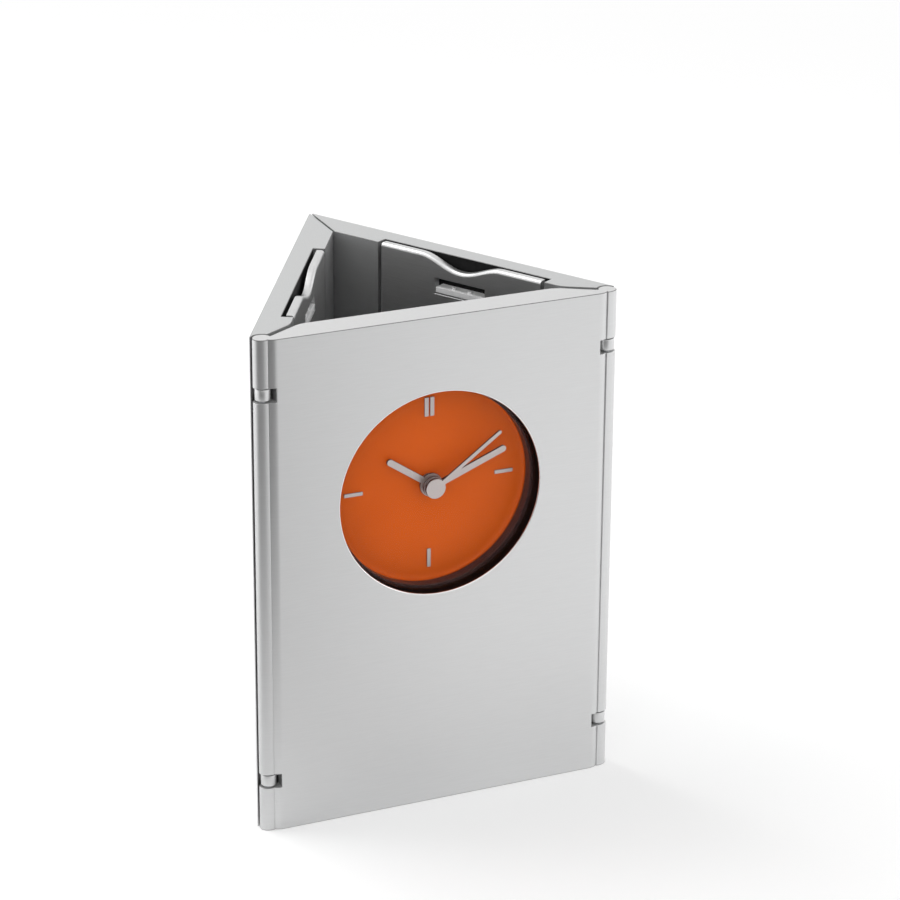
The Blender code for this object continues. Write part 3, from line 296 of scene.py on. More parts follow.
def ends_marked(work, extra):
    """Gives the sawn ends their own material, the eased edges round them a painted shade, and some chosen
    faces their own materials.
    """
    for face in work.faces:
        tilt = abs(face.normal.z)
        from_end = min(abs(vert.co.z - end) for vert in face.verts for end in (0, cup_tall))
        own = extra(face)
        if own != plain_look:
            face.material_index = own
        elif tilt > square_on:
            face.material_index = sawn_look
        elif tilt > 0.2 and from_end < edge_soft + hair:
            face.material_index = edge_shade_look
    return work


mitre_angle, mitre_soft = radians(30), 0.0012


def soft_mitre(last):
    """Where the rounding at a mitre's inside end starts and stops, and its centre."""
    point = Vector((last[0] + (panel_thick - last[1]) * root3, panel_thick))
    start = point - mitre_soft * Vector((cos(mitre_angle), sin(mitre_angle)))
    radius = mitre_soft / tan(mitre_angle / 2)
    centre = start + radius * Vector((sin(mitre_angle), -cos(mitre_angle)))
    return tuple(start), (point.x + mitre_soft, panel_thick), tuple(centre)


bead_radius, bead_rise, bead_spread = 0.0018, 0.0015, 0.00025
bead_along, bead_deep = hinge_from_corner + bead_spread, hinge_deep - bead_rise
shoulder_radius, shoulder_wide = 0.00015, 0.00036
shoulder_deep = bead_deep + shoulder_radius
crease_along = bead_along + shoulder_wide
roll_wide, roll_drop = 0.0018, 0.00056
roll_radius = (roll_wide**2 + roll_drop**2) / (2 * roll_drop)
bead_turn = radians(-168)
bead_back = (hinge_from_corner - bead_radius * cos(bead_turn), hinge_deep - bead_radius * sin(bead_turn))
front_mitre_start, _, front_mitre_centre = soft_mitre(bead_back)
front_edge = [
    (panel_wide / 2, 0),
    (crease_along + roll_wide, 0),
    ((crease_along + roll_wide, roll_radius), -asin(roll_wide / roll_radius)),
    (crease_along, shoulder_deep),
    ((crease_along - shoulder_radius, shoulder_deep), radians(-90)),
    (bead_along, bead_deep),
    ((bead_along, hinge_deep), radians(-90), (bead_radius + bead_spread) / bead_rise),
    ((hinge_from_corner, hinge_deep), bead_turn),
    front_mitre_start,
    (front_mitre_centre, -mitre_angle),
    (panel_wide / 2, panel_thick),
]
shell = laid(risen(outline(front_edge, mirror_at=panel_wide / 2), 0, cup_tall), front_place)
notch_lows, notch_tall = (0.009, cup_tall - 0.0123), 0.0028
cove_radius = 0.00208
notch_reach = hinge_from_corner + cove_radius
cuts = []
for low in notch_lows:
    for side in (-1, 1):
        outer, inner = side * (panel_wide / 2 + overrun), side * (panel_wide / 2 - notch_reach)
        notch_low = (min(outer, inner), face_y - overrun, low)
        notch_high = (max(outer, inner), face_y + panel_thick, low + notch_tall)
        cuts.append(box(notch_low, notch_high))
wall_thick = 0.0021
recess_from, recess_low = 0.0142, 0.0022
recess_half = panel_wide / 2 - recess_from
cuts.append(box(
    (-recess_half, face_y + wall_thick, recess_low),
    (recess_half, face_y + panel_thick + overrun, cup_tall - recess_low),
))
hole_radius, hole_edge = 0.02046, 0.0002
cuts.append(peg(hole_radius, -wall_thick - overrun, overrun, clock_place, steps=128))
shell = worked(shell, cuts)


def from_clock(point):
    """How far a point lies from the clock's axis."""
    return sqrt(point.x**2 + (point.z - clock_high) ** 2)


def round_opening(edge):
    """The front edge of the clock's opening."""
    return all(
        abs(vert.co.y - face_y) < hair and from_clock(vert.co) < hole_radius + 2 * hair
        for vert in edge.verts
    )


def in_bore(face):
    """The wall of the clock's opening, painted black as painted shade, and the turned edge in front of it,
    polished and painted lighter as a painted highlight.
    """
    middle = face.calc_center_median()
    outside = from_clock(middle) > hole_radius + hole_edge or middle.y > face_y + wall_thick
    frontward = abs(face.normal.y)
    if outside or frontward > square_on:
        return plain_look
    return shade_black_look if frontward < 0.1 else polish_and_highlight_look


eased(shell, edge_soft, chosen=lambda edge: not round_opening(edge))
eased(shell, hole_edge, chosen=round_opening, segments=3)
shell.normal_update()
ends_marked(shell, in_bore)
front_looks = [satin_front, sawn_front, painted_edge_shade, painted_shade_black, polished_edge_highlight]
finished("front_panel", shell, front_looks, "clock_panel", "front_shell")

# Side panels. Two mirror-image extrusions, mitred to meet at the back, with a hooked lip round each bead.
# Each has a window in its outer wall, a pocket for a card, and two knuckles that turn on the hinge pins.
right_place = Matrix.Translation((panel_wide / 2, face_y, 0)) @ Matrix.Rotation(radians(120), 4, "Z")
onward = right_place.to_3x3() @ Vector((1, 0, 0))
inward = right_place.to_3x3() @ Vector((0, 1, 0))
flip = Matrix.Scale(-1, 4, (1, 0, 0))
sides = (("right", radians(-120), Matrix()), ("left", radians(120), flip))
side_axis = (
    hinge_from_corner * cos(radians(60)) + hinge_deep * sin(radians(60)),
    hinge_from_corner * sin(radians(60)) - hinge_deep * cos(radians(60)),
)
cove_from = radians(18)
cove_start = (side_axis[0] + cove_radius * cos(cove_from), side_axis[1] + cove_radius * sin(cove_from))
_, side_mitre_stop, side_mitre_centre = soft_mitre(cove_start)
tip_cut, back_gap = 0.0009, 0.00015
tip_deep = sin(radians(60)) * (tip_cut - 2 * back_gap) / 2


def back_along(deep):
    """How far along a side panel its back mitre stands at a depth."""
    return panel_wide - 2 * back_gap - deep * root3


side_edge = [
    (side_axis[0], 0),
    (panel_wide - tip_cut, 0),
    (back_along(tip_deep), tip_deep),
    (back_along(panel_thick), panel_thick),
    side_mitre_stop,
    (side_mitre_centre, mitre_angle),
    cove_start,
    (side_axis, -(cove_from + radians(90))),
]
side_wall, pane_seat = 0.0040, 0.0020
pocket_from, pocket_to, pocket_low = 0.0153, panel_wide - 0.0222, 0.0018
pocket_middle = (pocket_from + pocket_to) / 2
window_margin, pane_lip = 0.0042, 0.0020
window_from, window_to = pocket_from + window_margin, pocket_to - window_margin
window_low, window_high = 0.0100, cup_tall - 0.0100
catch_half, catch_low, catch_high = 0.0060, cup_tall - 0.0077, cup_tall - 0.0045
ledge_thick, bump_radius = 0.0011, 0.00045
knuckle_radius, knuckle_top_gap, knuckle_foot_gap = bead_rise, 0.00015, 0.00045
neck_past = 0.0005
pin_bore = 0.0008
magnet_radius, magnet_thick = 0.0015, 0.0015
magnet_highs = (0.020, cup_tall - 0.020)
slack, touch = 0.0003, 0.0001
fine_soft = 0.0001


def magnet_place(high):
    """Looks out of the back mitre at its middle."""
    middle = right_place @ Vector((back_along(panel_thick / 2), panel_thick / 2, high))
    return Matrix.Translation(middle) @ Matrix.Rotation(radians(-90), 4, "Y")


def in_pocket(face):
    """The wall behind the backing plate, painted black as painted shade, and the top of the catch, painted
    white as a painted highlight.
    """
    middle = face.calc_center_median() - right_place.translation
    along, deep = middle.dot(onward), middle.dot(inward)
    over_catch = abs(along - pocket_middle) < catch_half and catch_low < middle.z < catch_high
    if over_catch and deep > side_wall + touch:
        return polish_and_highlight_look
    on_wall = abs(deep - side_wall) < touch and face.normal.dot(inward) > square_on
    return shade_black_look if on_wall else plain_look


def side_frame():
    """The right panel's frame, or with a flip the left one's."""
    work = laid(risen(outline(side_edge), 0, cup_tall), right_place)
    cut_blocks = [
        ((pocket_from, side_wall, pocket_low), (pocket_to, panel_thick + overrun, cup_tall + overrun)),
        (
            (window_from - pane_lip - slack, pane_seat, window_low - pane_lip - slack),
            (window_to + pane_lip + slack, side_wall + touch, window_high + pane_lip),
        ),
        ((window_from, -overrun, window_low), (window_to, pane_seat + touch, window_high)),
    ]
    cuts = [box(*block, right_place) for block in cut_blocks]
    for high in magnet_highs:
        seat = magnet_place(high)
        cuts.append(peg(magnet_radius + touch, -magnet_thick - slack, overrun / 2, seat, steps=32))
    work = eased(worked(work, cuts), edge_soft)
    half = catch_half - slack
    ledge_low = catch_low + slack
    ledge_high = ledge_low + ledge_thick
    ledge = box(
        (pocket_middle - half, side_wall - touch, ledge_low),
        (pocket_middle + half, panel_thick, ledge_high),
    )
    added = [eased(ledge, fine_soft)]
    for aside in (-half / 3, half / 3):
        centre = (pocket_middle + aside, panel_thick - 2 * bump_radius)
        bump = peg(bump_radius, ledge_high - touch, ledge_high + bump_radius, centre=centre, steps=24)
        added.append(eased(bump, edge_soft))
    for low in notch_lows:
        bottom, top = low + knuckle_foot_gap, low + notch_tall - knuckle_top_gap
        added.append(eased(peg(knuckle_radius, bottom, top, centre=side_axis), fine_soft))
        neck_low = (side_axis[0], side_axis[1] - knuckle_radius + touch, bottom)
        neck_high = (side_axis[0] + cove_radius + neck_past, side_axis[1] + slack, top)
        added.append(box(neck_low, neck_high))
    for tool in added:
        laid(tool, right_place)
    work = worked(work, added, "UNION")
    bores = [peg(pin_bore, low, low + notch_tall, right_place, side_axis, 32) for low in notch_lows]
    work = worked(work, bores)
    work.normal_update()
    return ends_marked(work, in_pocket)


# The pocket's wall behind the catch window is painted black as painted shade.
painted_pocket_shade = finish("painted_pocket_shade", 0.010, 0.016, rough=0.6, grain=900, shine=0.1)
# The top of the catch is painted near-white as a painted highlight.
painted_catch_highlight = finish("painted_catch_highlight", 0.88, 0.93, rough=0.5, grain=900)
# The side panels' sawn tops are painted a shade darker than the front panel's, as painted shade.
shaded_sawn_grey = ((0.52, 0.525, 0.525), (0.57, 0.575, 0.575))
for side, turn, place in sides:
    satin = finish(f"satin_{side}", *silver, turn=turn, **anodised)
    sawn = finish(f"sawn_{side}", *shaded_sawn_grey, rough=0.45, metal=0.8, turn=turn, **saw_marks)
    looks = [satin, sawn, painted_edge_shade, painted_pocket_shade, painted_catch_highlight]
    made = laid(side_frame(), place)
    finished(f"{side}_side_panel", made, looks, f"{side}_panel", f"{side}_frame")

# Panes. A clear acrylic sheet lies behind each side window and keeps the card flat.
# Its edges are polished, and it drops in from inside before the backing plate goes over it.
clear = bpy.data.materials.new("clear_acrylic")
clear.use_nodes = True
clear_tree = clear.node_tree
clear_shader = clear_tree.nodes["Principled BSDF"]
clear_shader.inputs["Transmission Weight"].default_value = 1.0
clear_shader.inputs["IOR"].default_value = 1.03
clear_shader.inputs["Coat Weight"].default_value = 0.28
clear_shader.inputs["Coat Roughness"].default_value = 0.03
clear_shader.inputs["Alpha"].default_value = 0.3
clear_place = clear_tree.nodes.new("ShaderNodeTexCoord")
smudge = wired(clear_tree, "ShaderNodeTexNoise", clear_place.outputs["Object"], "Vector")
smudge.inputs["Scale"].default_value = 120.0
smudged = fade(clear_tree, smudge.outputs["Fac"], 0.0, 1.0, 0.0, 0.015)
clear_tree.links.new(smudged, clear_shader.inputs["Roughness"])
pane_thick, pane_soft = 0.0014, 0.00015
for side, _, place in sides:
    low = (window_from - pane_lip, pane_seat + slack, window_low - pane_lip)
    high = (window_to + pane_lip, pane_seat + slack + pane_thick, window_high + pane_lip - slack)
    pane = laid(eased(box(low, high, right_place), pane_soft), place)
    finished(f"{side}_window_pane", pane, [clear], f"{side}_panel", f"{side}_pane")

# Backing plates. An aluminium strip slides up inside each side panel and hooks over a catch near its top.
# Its top edge is scooped for a thumb, and the inner rim of the scoop is rounded and polished bright.
backing_thick, backing_margin = 0.0016, 0.0008
backing_from, backing_to = pocket_from + backing_margin, pocket_to - backing_margin
backing_low = pocket_low + slack
thumb_half, thumb_deep, thumb_steps = 0.0096, 0.0024, 24
rim_soft = 0.0007
lug_half, lug_tall, lug_thick = 0.0048, 0.0010, 0.0006


def top_rim(edge):
    """Edges round the top of the plate on its inside face."""
    high = all(vert.co.z > cup_tall - thumb_deep - touch for vert in edge.verts)
    return high and any(face.normal.dot(inward) > 0.9 for face in edge.link_faces)


def backing():
    """The plate, with its scoop, its catch window and the lug on its foot."""
    strokes = [(backing_from, backing_low), (backing_to, backing_low), (backing_to, cup_tall)]
    for step in range(thumb_steps + 1):
        away = 1 - 2 * step / thumb_steps
        dip = thumb_deep * (1 + cos(pi * away)) / 2
        strokes.append((pocket_middle + thumb_half * away, cup_tall - dip))
    strokes.append((backing_from, cup_tall))
    stood = right_place @ Matrix.Rotation(radians(90), 4, "X")
    work = laid(risen(outline(strokes), -panel_thick, backing_thick - panel_thick), stood)
    window = box(
        (pocket_middle - catch_half, 0, catch_low),
        (pocket_middle + catch_half, panel_thick + overrun, catch_high),
        right_place,
    )
    work = worked(work, [window])
    eased(work, rim_soft, angle=40, chosen=top_rim, segments=5)
    eased(work, fine_soft)
    middle = panel_thick - backing_thick / 2
    lug = box(
        (pocket_middle - lug_half, middle - lug_thick / 2, backing_low - lug_tall),
        (pocket_middle + lug_half, middle + lug_thick / 2, backing_low + slack),
        right_place,
    )
    return worked(work, [lug], "UNION")


for side, turn, place in sides:
    plate = finish(f"backing_{side}", 0.60, 0.66, rough=0.34, turn=turn, bump=0.00001, **brushed)
    made = laid(backing(), place)
    finished(f"{side}_backing_plate", made, [plate], f"{side}_panel", f"{side}_backing")

# Hinge pins. Four steel pins with rounded ends are pressed into the beads' bores above and below a notch,
# and each carries one knuckle of a side panel.
steel_shades = ((0.50, 0.51, 0.53), (0.58, 0.59, 0.61))
steel = finish("bright_steel", *steel_shades, rough=0.24, grain=(600, 600, 9000), metal=1.0)
pin_radius, pin_reach, pin_soft = 0.00075, 0.0055, 0.0002
for side, x in (("left", -hinge.x), ("right", hinge.x)):
    for end, low in zip(("bottom", "top"), notch_lows):
        upright = Matrix.Translation((x, hinge.y, 0))
        pin = peg(pin_radius, low - pin_reach, low + notch_tall + pin_reach, upright, steps=32)
        eased(pin, pin_soft, segments=3)
        finished(f"{side}_{end}_pin", pin, [steel], "clock_panel", f"hinge_pin_{side}_{end}")

# Magnets. Two small nickel-plated discs are pressed into the back mitre of each side panel.
# Each pulls on its fellow across the joint, and together they keep the cup closed.
nickel = finish("nickel", 0.55, (0.64, 0.64, 0.63), rough=0.2, grain=1500, metal=1.0)
magnet_sunk, magnet_soft = 0.0001, 0.00015
for side, _, place in sides:
    for end, high in zip(("bottom", "top"), magnet_highs):
        disc = peg(magnet_radius, -magnet_sunk - magnet_thick, -magnet_sunk, magnet_place(high))
        disc = laid(eased(disc, magnet_soft, segments=3), place)
        finished(f"{side}_{end}_magnet", disc, [nickel], f"{side}_panel", f"{side}_magnet_{end}")

# Back cover. A moulded grey plate closes the front panel's hollow from inside the cup.
# A round boss in its middle presses the clock's case home, and four screws hold it.
grey_shades = ((0.055, 0.056, 0.058), (0.075, 0.076, 0.079))
grey = finish("grey_moulding", *grey_shades, rough=0.5, grain=2500, bump=0.00003)
cover_thick = 0.0014
case_radius, case_wall, case_flange = 0.02125, 0.00075, 0.0234
case_front, flange_thick = wall_thick + slack, 0.0014
floor_low, floor_thick = recess_low + slack, 0.0025
screw_aside, screw_high = panel_wide / 2 - recess_from - 0.0043, recess_low + 0.0062
screw_places = [(side * screw_aside, z) for side in (-1, 1) for z in (screw_high, cup_tall - screw_high)]
head_radius, head_thick, head_sink = 0.0016, 0.0005, 0.0008
shank_hole, cover_soft = 0.0010, 0.00015
cover_half = recess_half - slack
cover = box(
    (-cover_half, face_y + panel_thick - cover_thick, floor_low + floor_thick + slack),
    (cover_half, face_y + panel_thick, cup_tall - recess_low - slack),
)
boss_front = case_front + flange_thick + slack
boss = peg(case_flange, touch + cover_thick - panel_thick, -boss_front, clock_place, steps=96)
cover = worked(cover, [boss], "UNION")
cuts = [peg(case_radius + case_wall + slack, -panel_thick - overrun, 0, clock_place, steps=96)]
for x, z in screw_places:
    seat = facing(x, z)
    cuts.append(peg(head_radius + slack, -panel_thick - overrun, head_sink - panel_thick, seat, steps=40))
    cuts.append(peg(shank_hole, -panel_thick, 0, seat, steps=24))
cover = eased(worked(cover, cuts), cover_soft)
finished("cover_plate", cover, [grey], "clock_panel", "back_cover")

# Cover screws. Four plated steel screws with slotted pan heads, sunk flush with the back cover's face.
# The slots stand at odd angles, as a hand left them.
shank_radius, shank_front = 0.0008, wall_thick + 0.0009
head_front = panel_thick - head_sink + slack
head_back, head_soft = head_front + head_thick, 0.0002
slot_half, slot_deep = 0.00025, 0.00025
for number, (x, z) in enumerate(screw_places, start=1):
    head = eased(peg(head_radius, -head_back, -head_front, facing(x, z)), head_soft, segments=3)
    shank = peg(shank_radius, -head_front - touch, -shank_front, facing(x, z), steps=24)
    screw = worked(head, [shank], "UNION")
    slot = box(
        (-head_radius - touch, -slot_half, -head_back - touch),
        (head_radius + touch, slot_half, slot_deep - head_back),
        facing(x, z) @ Matrix.Rotation(radians(50 * number - 25), 4, "Z"),
    )
    screw = worked(screw, [slot])
    finished(f"screw_{number}", screw, [steel], "clock_panel", f"cover_screw_{number}")

# Floor. A moulded triangle closes the foot of the cup, and its flange is trapped behind the back cover,
# so it stays with the front panel when the side panels swing open.
floor_clear, tip_half, floor_soft = 0.0006, 0.0014, 0.0003
floor_corner = panel_thick * root3 + floor_clear * 2 / root3
floor_tip = panel_wide / 2 - tip_half
tip_back = panel_thick + (floor_tip - floor_corner) * root3
floor_edge = [
    (floor_corner + slack / root3, panel_thick + slack),
    (floor_tip, tip_back),
    (panel_wide - floor_tip, tip_back),
    (panel_wide - floor_corner - slack / root3, panel_thick + slack),
]
floor = laid(risen(outline(floor_edge), floor_low, floor_low + floor_thick), front_place)
eased(floor, floor_soft, segments=3)
tongue_half = recess_half - 0.0078 - 2 * slack
tongue_tall, neck_reach = 0.0070, 0.0008
neck = box(
    (-tongue_half, face_y + case_front, floor_low + touch),
    (tongue_half, face_y + panel_thick + neck_reach, floor_low + floor_thick - touch),
)
tongue = box(
    (-tongue_half + touch, face_y + case_front + touch, floor_low + 2 * touch),
    (tongue_half - touch, face_y + panel_thick - cover_thick - slack, floor_low + tongue_tall),
)
floor = worked(floor, [neck, tongue], "UNION")
finished("cup_floor", floor, [grey], "clock_panel", "floor_plate")

# Clock case. A turned can of black plastic with a flange that seats behind the panel's face,
# and an inner ledge between the movement and the cap on its back.
black_shades = ((0.014, 0.014, 0.015), (0.022, 0.022, 0.024))
black = finish("black_plastic", *black_shades, rough=0.4, grain=2200, bump=0.00002)
movement_back = 0.0124
ledge_front, ledge_back = movement_back + slack, movement_back + 2 * slack
cap_front = ledge_back + slack
cap_back = cap_front + 0.0008
case_back = cap_back + slack
case_ledge = case_radius - 0.00105


def turned(profile, steps=128):
    """A closed profile of radius and height spun round the clock's axis."""
    work = bmesh.new()
    first = last = bmesh.ops.create_vert(work, co=(profile[0][0], 0, profile[0][1]))["vert"][0]
    for radius, high in profile[1:]:
        last = bmesh.ops.extrude_vert_indiv(work, verts=[last])["verts"][0]
        last.co = (radius, 0, high)
    if first.co.x or last.co.x:
        bmesh.ops.contextual_create(work, geom=[last, first])
    bmesh.ops.spin(
        work, geom=work.verts[:] + work.edges[:], cent=(0, 0, 0), axis=(0, 0, 1), angle=2 * pi, steps=steps,
        use_merge=True,
    )
    bmesh.ops.remove_doubles(work, verts=work.verts, dist=weld)
    bmesh.ops.dissolve_degenerate(work, dist=weld, edges=work.edges)
    bmesh.ops.recalc_face_normals(work, faces=work.faces)
    return laid(work, clock_place)


can = turned([
    (case_radius, -case_front),
    (case_flange, -case_front),
    (case_flange, -case_front - flange_thick),
    (case_radius + case_wall, -case_front - flange_thick),
    (case_radius + case_wall, -case_back),
    (case_radius, -case_back),
    (case_radius, -ledge_back),
    (case_ledge, -ledge_back),
    (case_ledge, -ledge_front),
    (case_radius, -ledge_front),
])
eased(can, edge_soft, angle=60)
finished("case_can", can, [black], "clock_panel", "clock_case")

# Cap and battery hatch. The cap closes the can; its round hatch over the button cell turns with a coin.
# Both are black plastic, with the hatch's slot moulded in.
cell_radius, cell_along = 0.00475, 0.01145133
hatch_radius, hatch_soft = cell_radius + 0.0005, 0.00015
coin_half, coin_wide, coin_deep = 0.0035, 0.0012, 0.0004
knob_along, shaft_radius = -0.0096, 0.0008
cap = bmesh.new()
for radius, along, steps in (
    (case_radius - slack, 0, 128),
    (hatch_radius + slack, cell_along, 64),
    (shaft_radius + touch / 2, knob_along, 24),
):
    bmesh.ops.create_circle(cap, segments=steps, radius=radius, matrix=Matrix.Translation((along, 0, 0)))
cap = eased(laid(risen(cap, -cap_back, -cap_front), clock_place), edge_soft)
finished("case_cap", cap, [black], "clock_panel", "back_cap")
hatch = peg(hatch_radius, -cap_back, -cap_front, clock_place, (cell_along, 0), 64)
eased(hatch, hatch_soft, segments=3)
coin_slot = box(
    (cell_along - coin_half, -coin_wide / 2, -cap_back - overrun),
    (cell_along + coin_half, coin_wide / 2, coin_deep - cap_back),
    clock_place,
)
hatch = worked(hatch, [coin_slot])
finished("cell_hatch", hatch, [black], "battery_hatch", "battery_hatch")

# Setting knob. A ribbed black knob on the back, turned to set the hands.
# Its shaft runs through the cap to a small pinion in mesh with the motion work.
knob_radius, knob_thick, knob_front = 0.0030, 0.0015, case_back + slack
rib_steps, rib_deep = 12 * 4, 0.0002
knob_edge = []
for step in range(rib_steps):
    radius = knob_radius - (rib_deep if step % 4 > 1 else 0)
    turn = 2 * pi * (step + 0.5) / rib_steps
    knob_edge.append((knob_along + radius * cos(turn), radius * sin(turn)))
knob = laid(risen(outline(knob_edge), -knob_front - knob_thick, -knob_front), clock_place)
eased(knob, edge_soft, angle=60)
pinion_teeth, pinion_root, pinion_tip = 10, 0.00084, 0.00139
pinion_front, pinion_thick = 0.0085, 0.0004
tail_radius, tail_front = 0.00035, 0.0072
pinion_edge = []
for tooth in range(pinion_teeth):
    for share, radius in ((-0.5, pinion_root), (-0.08, pinion_tip), (0.08, pinion_tip)):
        turn = 2 * pi * (tooth + share) / pinion_teeth
        pinion_edge.append((knob_along + radius * cos(turn), radius * sin(turn)))
pinion = laid(risen(outline(pinion_edge), -pinion_front - pinion_thick, -pinion_front), clock_place)
shaft = peg(shaft_radius, -knob_front - touch, -pinion_front, clock_place, (knob_along, 0), 32)
tail = peg(tail_radius, -pinion_front - touch, -tail_front, clock_place, (knob_along, 0), 16)
knob = worked(knob, [shaft, pinion, tail], "UNION")
finished("setting_knob", knob, [black], "setting_knob", "set_knob")

# Dial. A disc painted orange, its rim curled up a little towards the ring round it.
# The paint is smooth and semi-gloss, with faint clouding.
orange_shades = ((0.74, 0.112, 0.004), (0.80, 0.125, 0.006))
orange = finish("orange_paint", *orange_shades, rough=0.35, grain=60, spread=0.03, shine=0.1)
dial_deep, dial_back, dial_bore = 0.0060, 0.0065, 0.00191
dial_radius, ring_radius = case_radius - slack, hole_radius - 0.0006
curl_radius, curl_rise, curl_steps = 0.00126, 0.00045, 10
rim_deep = dial_deep - curl_rise
dial_profile = [(dial_bore, -dial_deep)]
for step in range(curl_steps + 1):
    turn = pi / 2 * step / curl_steps - pi / 2
    radius = ring_radius - curl_radius + curl_radius * cos(turn)
    dial_profile.append((radius, curl_rise * sin(turn) - rim_deep))
dial_profile += [(dial_radius, -rim_deep), (dial_radius, -dial_back), (dial_bore, -dial_back)]
finished("dial_disc", turned(dial_profile), [orange], "clock_panel", "dial")

# Dial ring. A glossy ring moulded in dark brown stands between the dial and the crystal.
# It hides the case's wall, and gives the clock its depth behind the panel's face.
brown_shades = ((0.048, 0.025, 0.024), (0.060, 0.032, 0.031))
brown = finish("brown_gloss", *brown_shades, rough=0.3, grain=300, shine=0.3)
ring_front, ring_back = 0.00305, rim_deep - slack
ring = turned([
    (ring_radius, -ring_front),
    (dial_radius, -ring_front),
    (dial_radius, -ring_back),
    (ring_radius, -ring_back),
])
eased(ring, fine_soft, angle=60)
finished("dial_surround", ring, [brown], "clock_panel", "dial_ring")

# Hour marks. Raised bars of satin metal foil, glued to the dial, their edges darkened with painted shade.
# There is one at 3, 6 and 9, and a slightly wider pair at 12.
foil_shades = ((0.56, 0.50, 0.49), (0.68, 0.62, 0.61))
foil = finish("pink_silver", *foil_shades, rough=0.42, grain=9000, metal=0.8, bump=0.00001)
# The sides of the marks and hands are painted dark as painted shade.
foil_side_shade = finish("foil_side_shade", (0.040, 0.022, 0.021), (0.07, 0.040, 0.038), rough=0.4, grain=900, metal=0.3)
foil_looks = [foil, foil_side_shade]
foil_soft = 0.00006
mark_from, mark_long, mark_wide, mark_thick = 0.0136, 0.0038, 0.00075, 0.0002
mark_front = dial_deep - touch - mark_thick
pair_aside, pair_wide = 0.000575, 0.00085


def sides_shaded(work):
    """Gives the sides of a flat piece of the clock a painted shade, as a dark outline."""
    work.normal_update()
    for face in work.faces:
        if abs(face.normal.y) < 0.6:
            face.material_index = foil_looks.index(foil_side_shade)
    return work


for spot, turn, aside, wide in (
    ("3", 90, 0, mark_wide),
    ("6", 180, 0, mark_wide),
    ("9", 270, 0, mark_wide),
    ("12_left", 0, -pair_aside, pair_wide),
    ("12_right", 0, pair_aside, pair_wide),
):
    low = (aside - wide / 2, mark_from, -mark_front - mark_thick)
    high = (aside + wide / 2, mark_from + mark_long, -mark_front)
    bar = eased(box(low, high, clock_place @ Matrix.Rotation(radians(-turn), 4, "Z")), foil_soft)
    finished(f"bar_{spot}", sides_shaded(bar), foil_looks, "clock_panel", f"mark_{spot}")

# Hands. Stamped from thin sheet and brushed, with rounded tips. The hour and minute hands press on their
# tubes, and the second hand hangs under a round cap on the centre arbor.
hub_radius, hub_front, hub_back = 0.0020, 0.0024, 0.0030
arbor_radius, arbor_front, arbor_back = 0.00055, 0.00275, 0.0034


def hand(hub, reach, front, angle, wide=0.0013, thick=0.0005, bore=0):
    """A hub, a straight bar and a round tip, turned clockwise from 12."""
    half = wide / 2
    neck_turn = asin(half / hub)
    strokes = [
        (-half, sqrt(hub**2 - half**2)),
        ((0, 0), 2 * pi - 2 * neck_turn),
        (half, reach - half),
        ((0, reach - half), pi),
    ]
    work = outline(strokes)
    if bore:
        bmesh.ops.create_circle(work, segments=48, radius=bore)
    work = risen(work, -front - thick, -front)
    return laid(work, clock_place @ Matrix.Rotation(radians(-angle), 4, "Z"))


hour = hand(hub=0.00231, reach=0.0109, front=0.0046, angle=304.5, bore=0.00161)
minute = hand(hub=0.0021, reach=0.0160, front=0.0034, angle=68.5, bore=0.00105)
for name, work in (("hour", hour), ("minute", minute)):
    work = sides_shaded(eased(work, foil_soft))
    finished(f"{name}_pointer", work, foil_looks, f"{name}_hand", f"{name}_hand")
second = hand(
    hub=hub_radius - touch, reach=0.0166, front=hub_front + touch, angle=54.3, wide=0.0007, thick=0.0004
)
hub_cap = eased(peg(hub_radius, -hub_back, -hub_front, clock_place, steps=64), fine_soft, segments=3)
second = worked(hub_cap, [second], "UNION")
second = worked(second, [peg(arbor_radius, -arbor_back, -arbor_front, clock_place, steps=32)])
finished("second_pointer", sides_shaded(second), foil_looks, "second_hand", "second_hand")

# Crystal. A clear acrylic lens, polished, with its edge painted black as painted shade, the same black as
# the bore.
# The foot of its short skirt is trapped between the panel and the case.
lens_radius, lens_front, lens_back = hole_radius - 0.00026, 0.0012, 0.0020
skirt_inside, foot_back, lens_soft = lens_radius - 0.0004, case_front + 0.00035, 0.00025
lens = turned([
    (0, -lens_front),
    (lens_radius, -lens_front),
    (lens_radius, -case_front),
    (dial_radius, -case_front),
    (dial_radius, -foot_back),
    (skirt_inside, -foot_back),
    (skirt_inside, -lens_back),
    (0, -lens_back),
])
eased(lens, lens_soft, angle=60, segments=3)
lens.normal_update()
lens_looks = [clear, painted_shade_black]
# The lens's edge takes the bore's painted shade.
for face in lens.faces:
    if abs(face.normal.y) < 0.3 and from_clock(face.calc_center_median()) > lens_radius - 2 * hair:
        face.material_index = lens_looks.index(painted_shade_black)
finished("crystal_lens", lens, lens_looks, "clock_panel", "crystal")

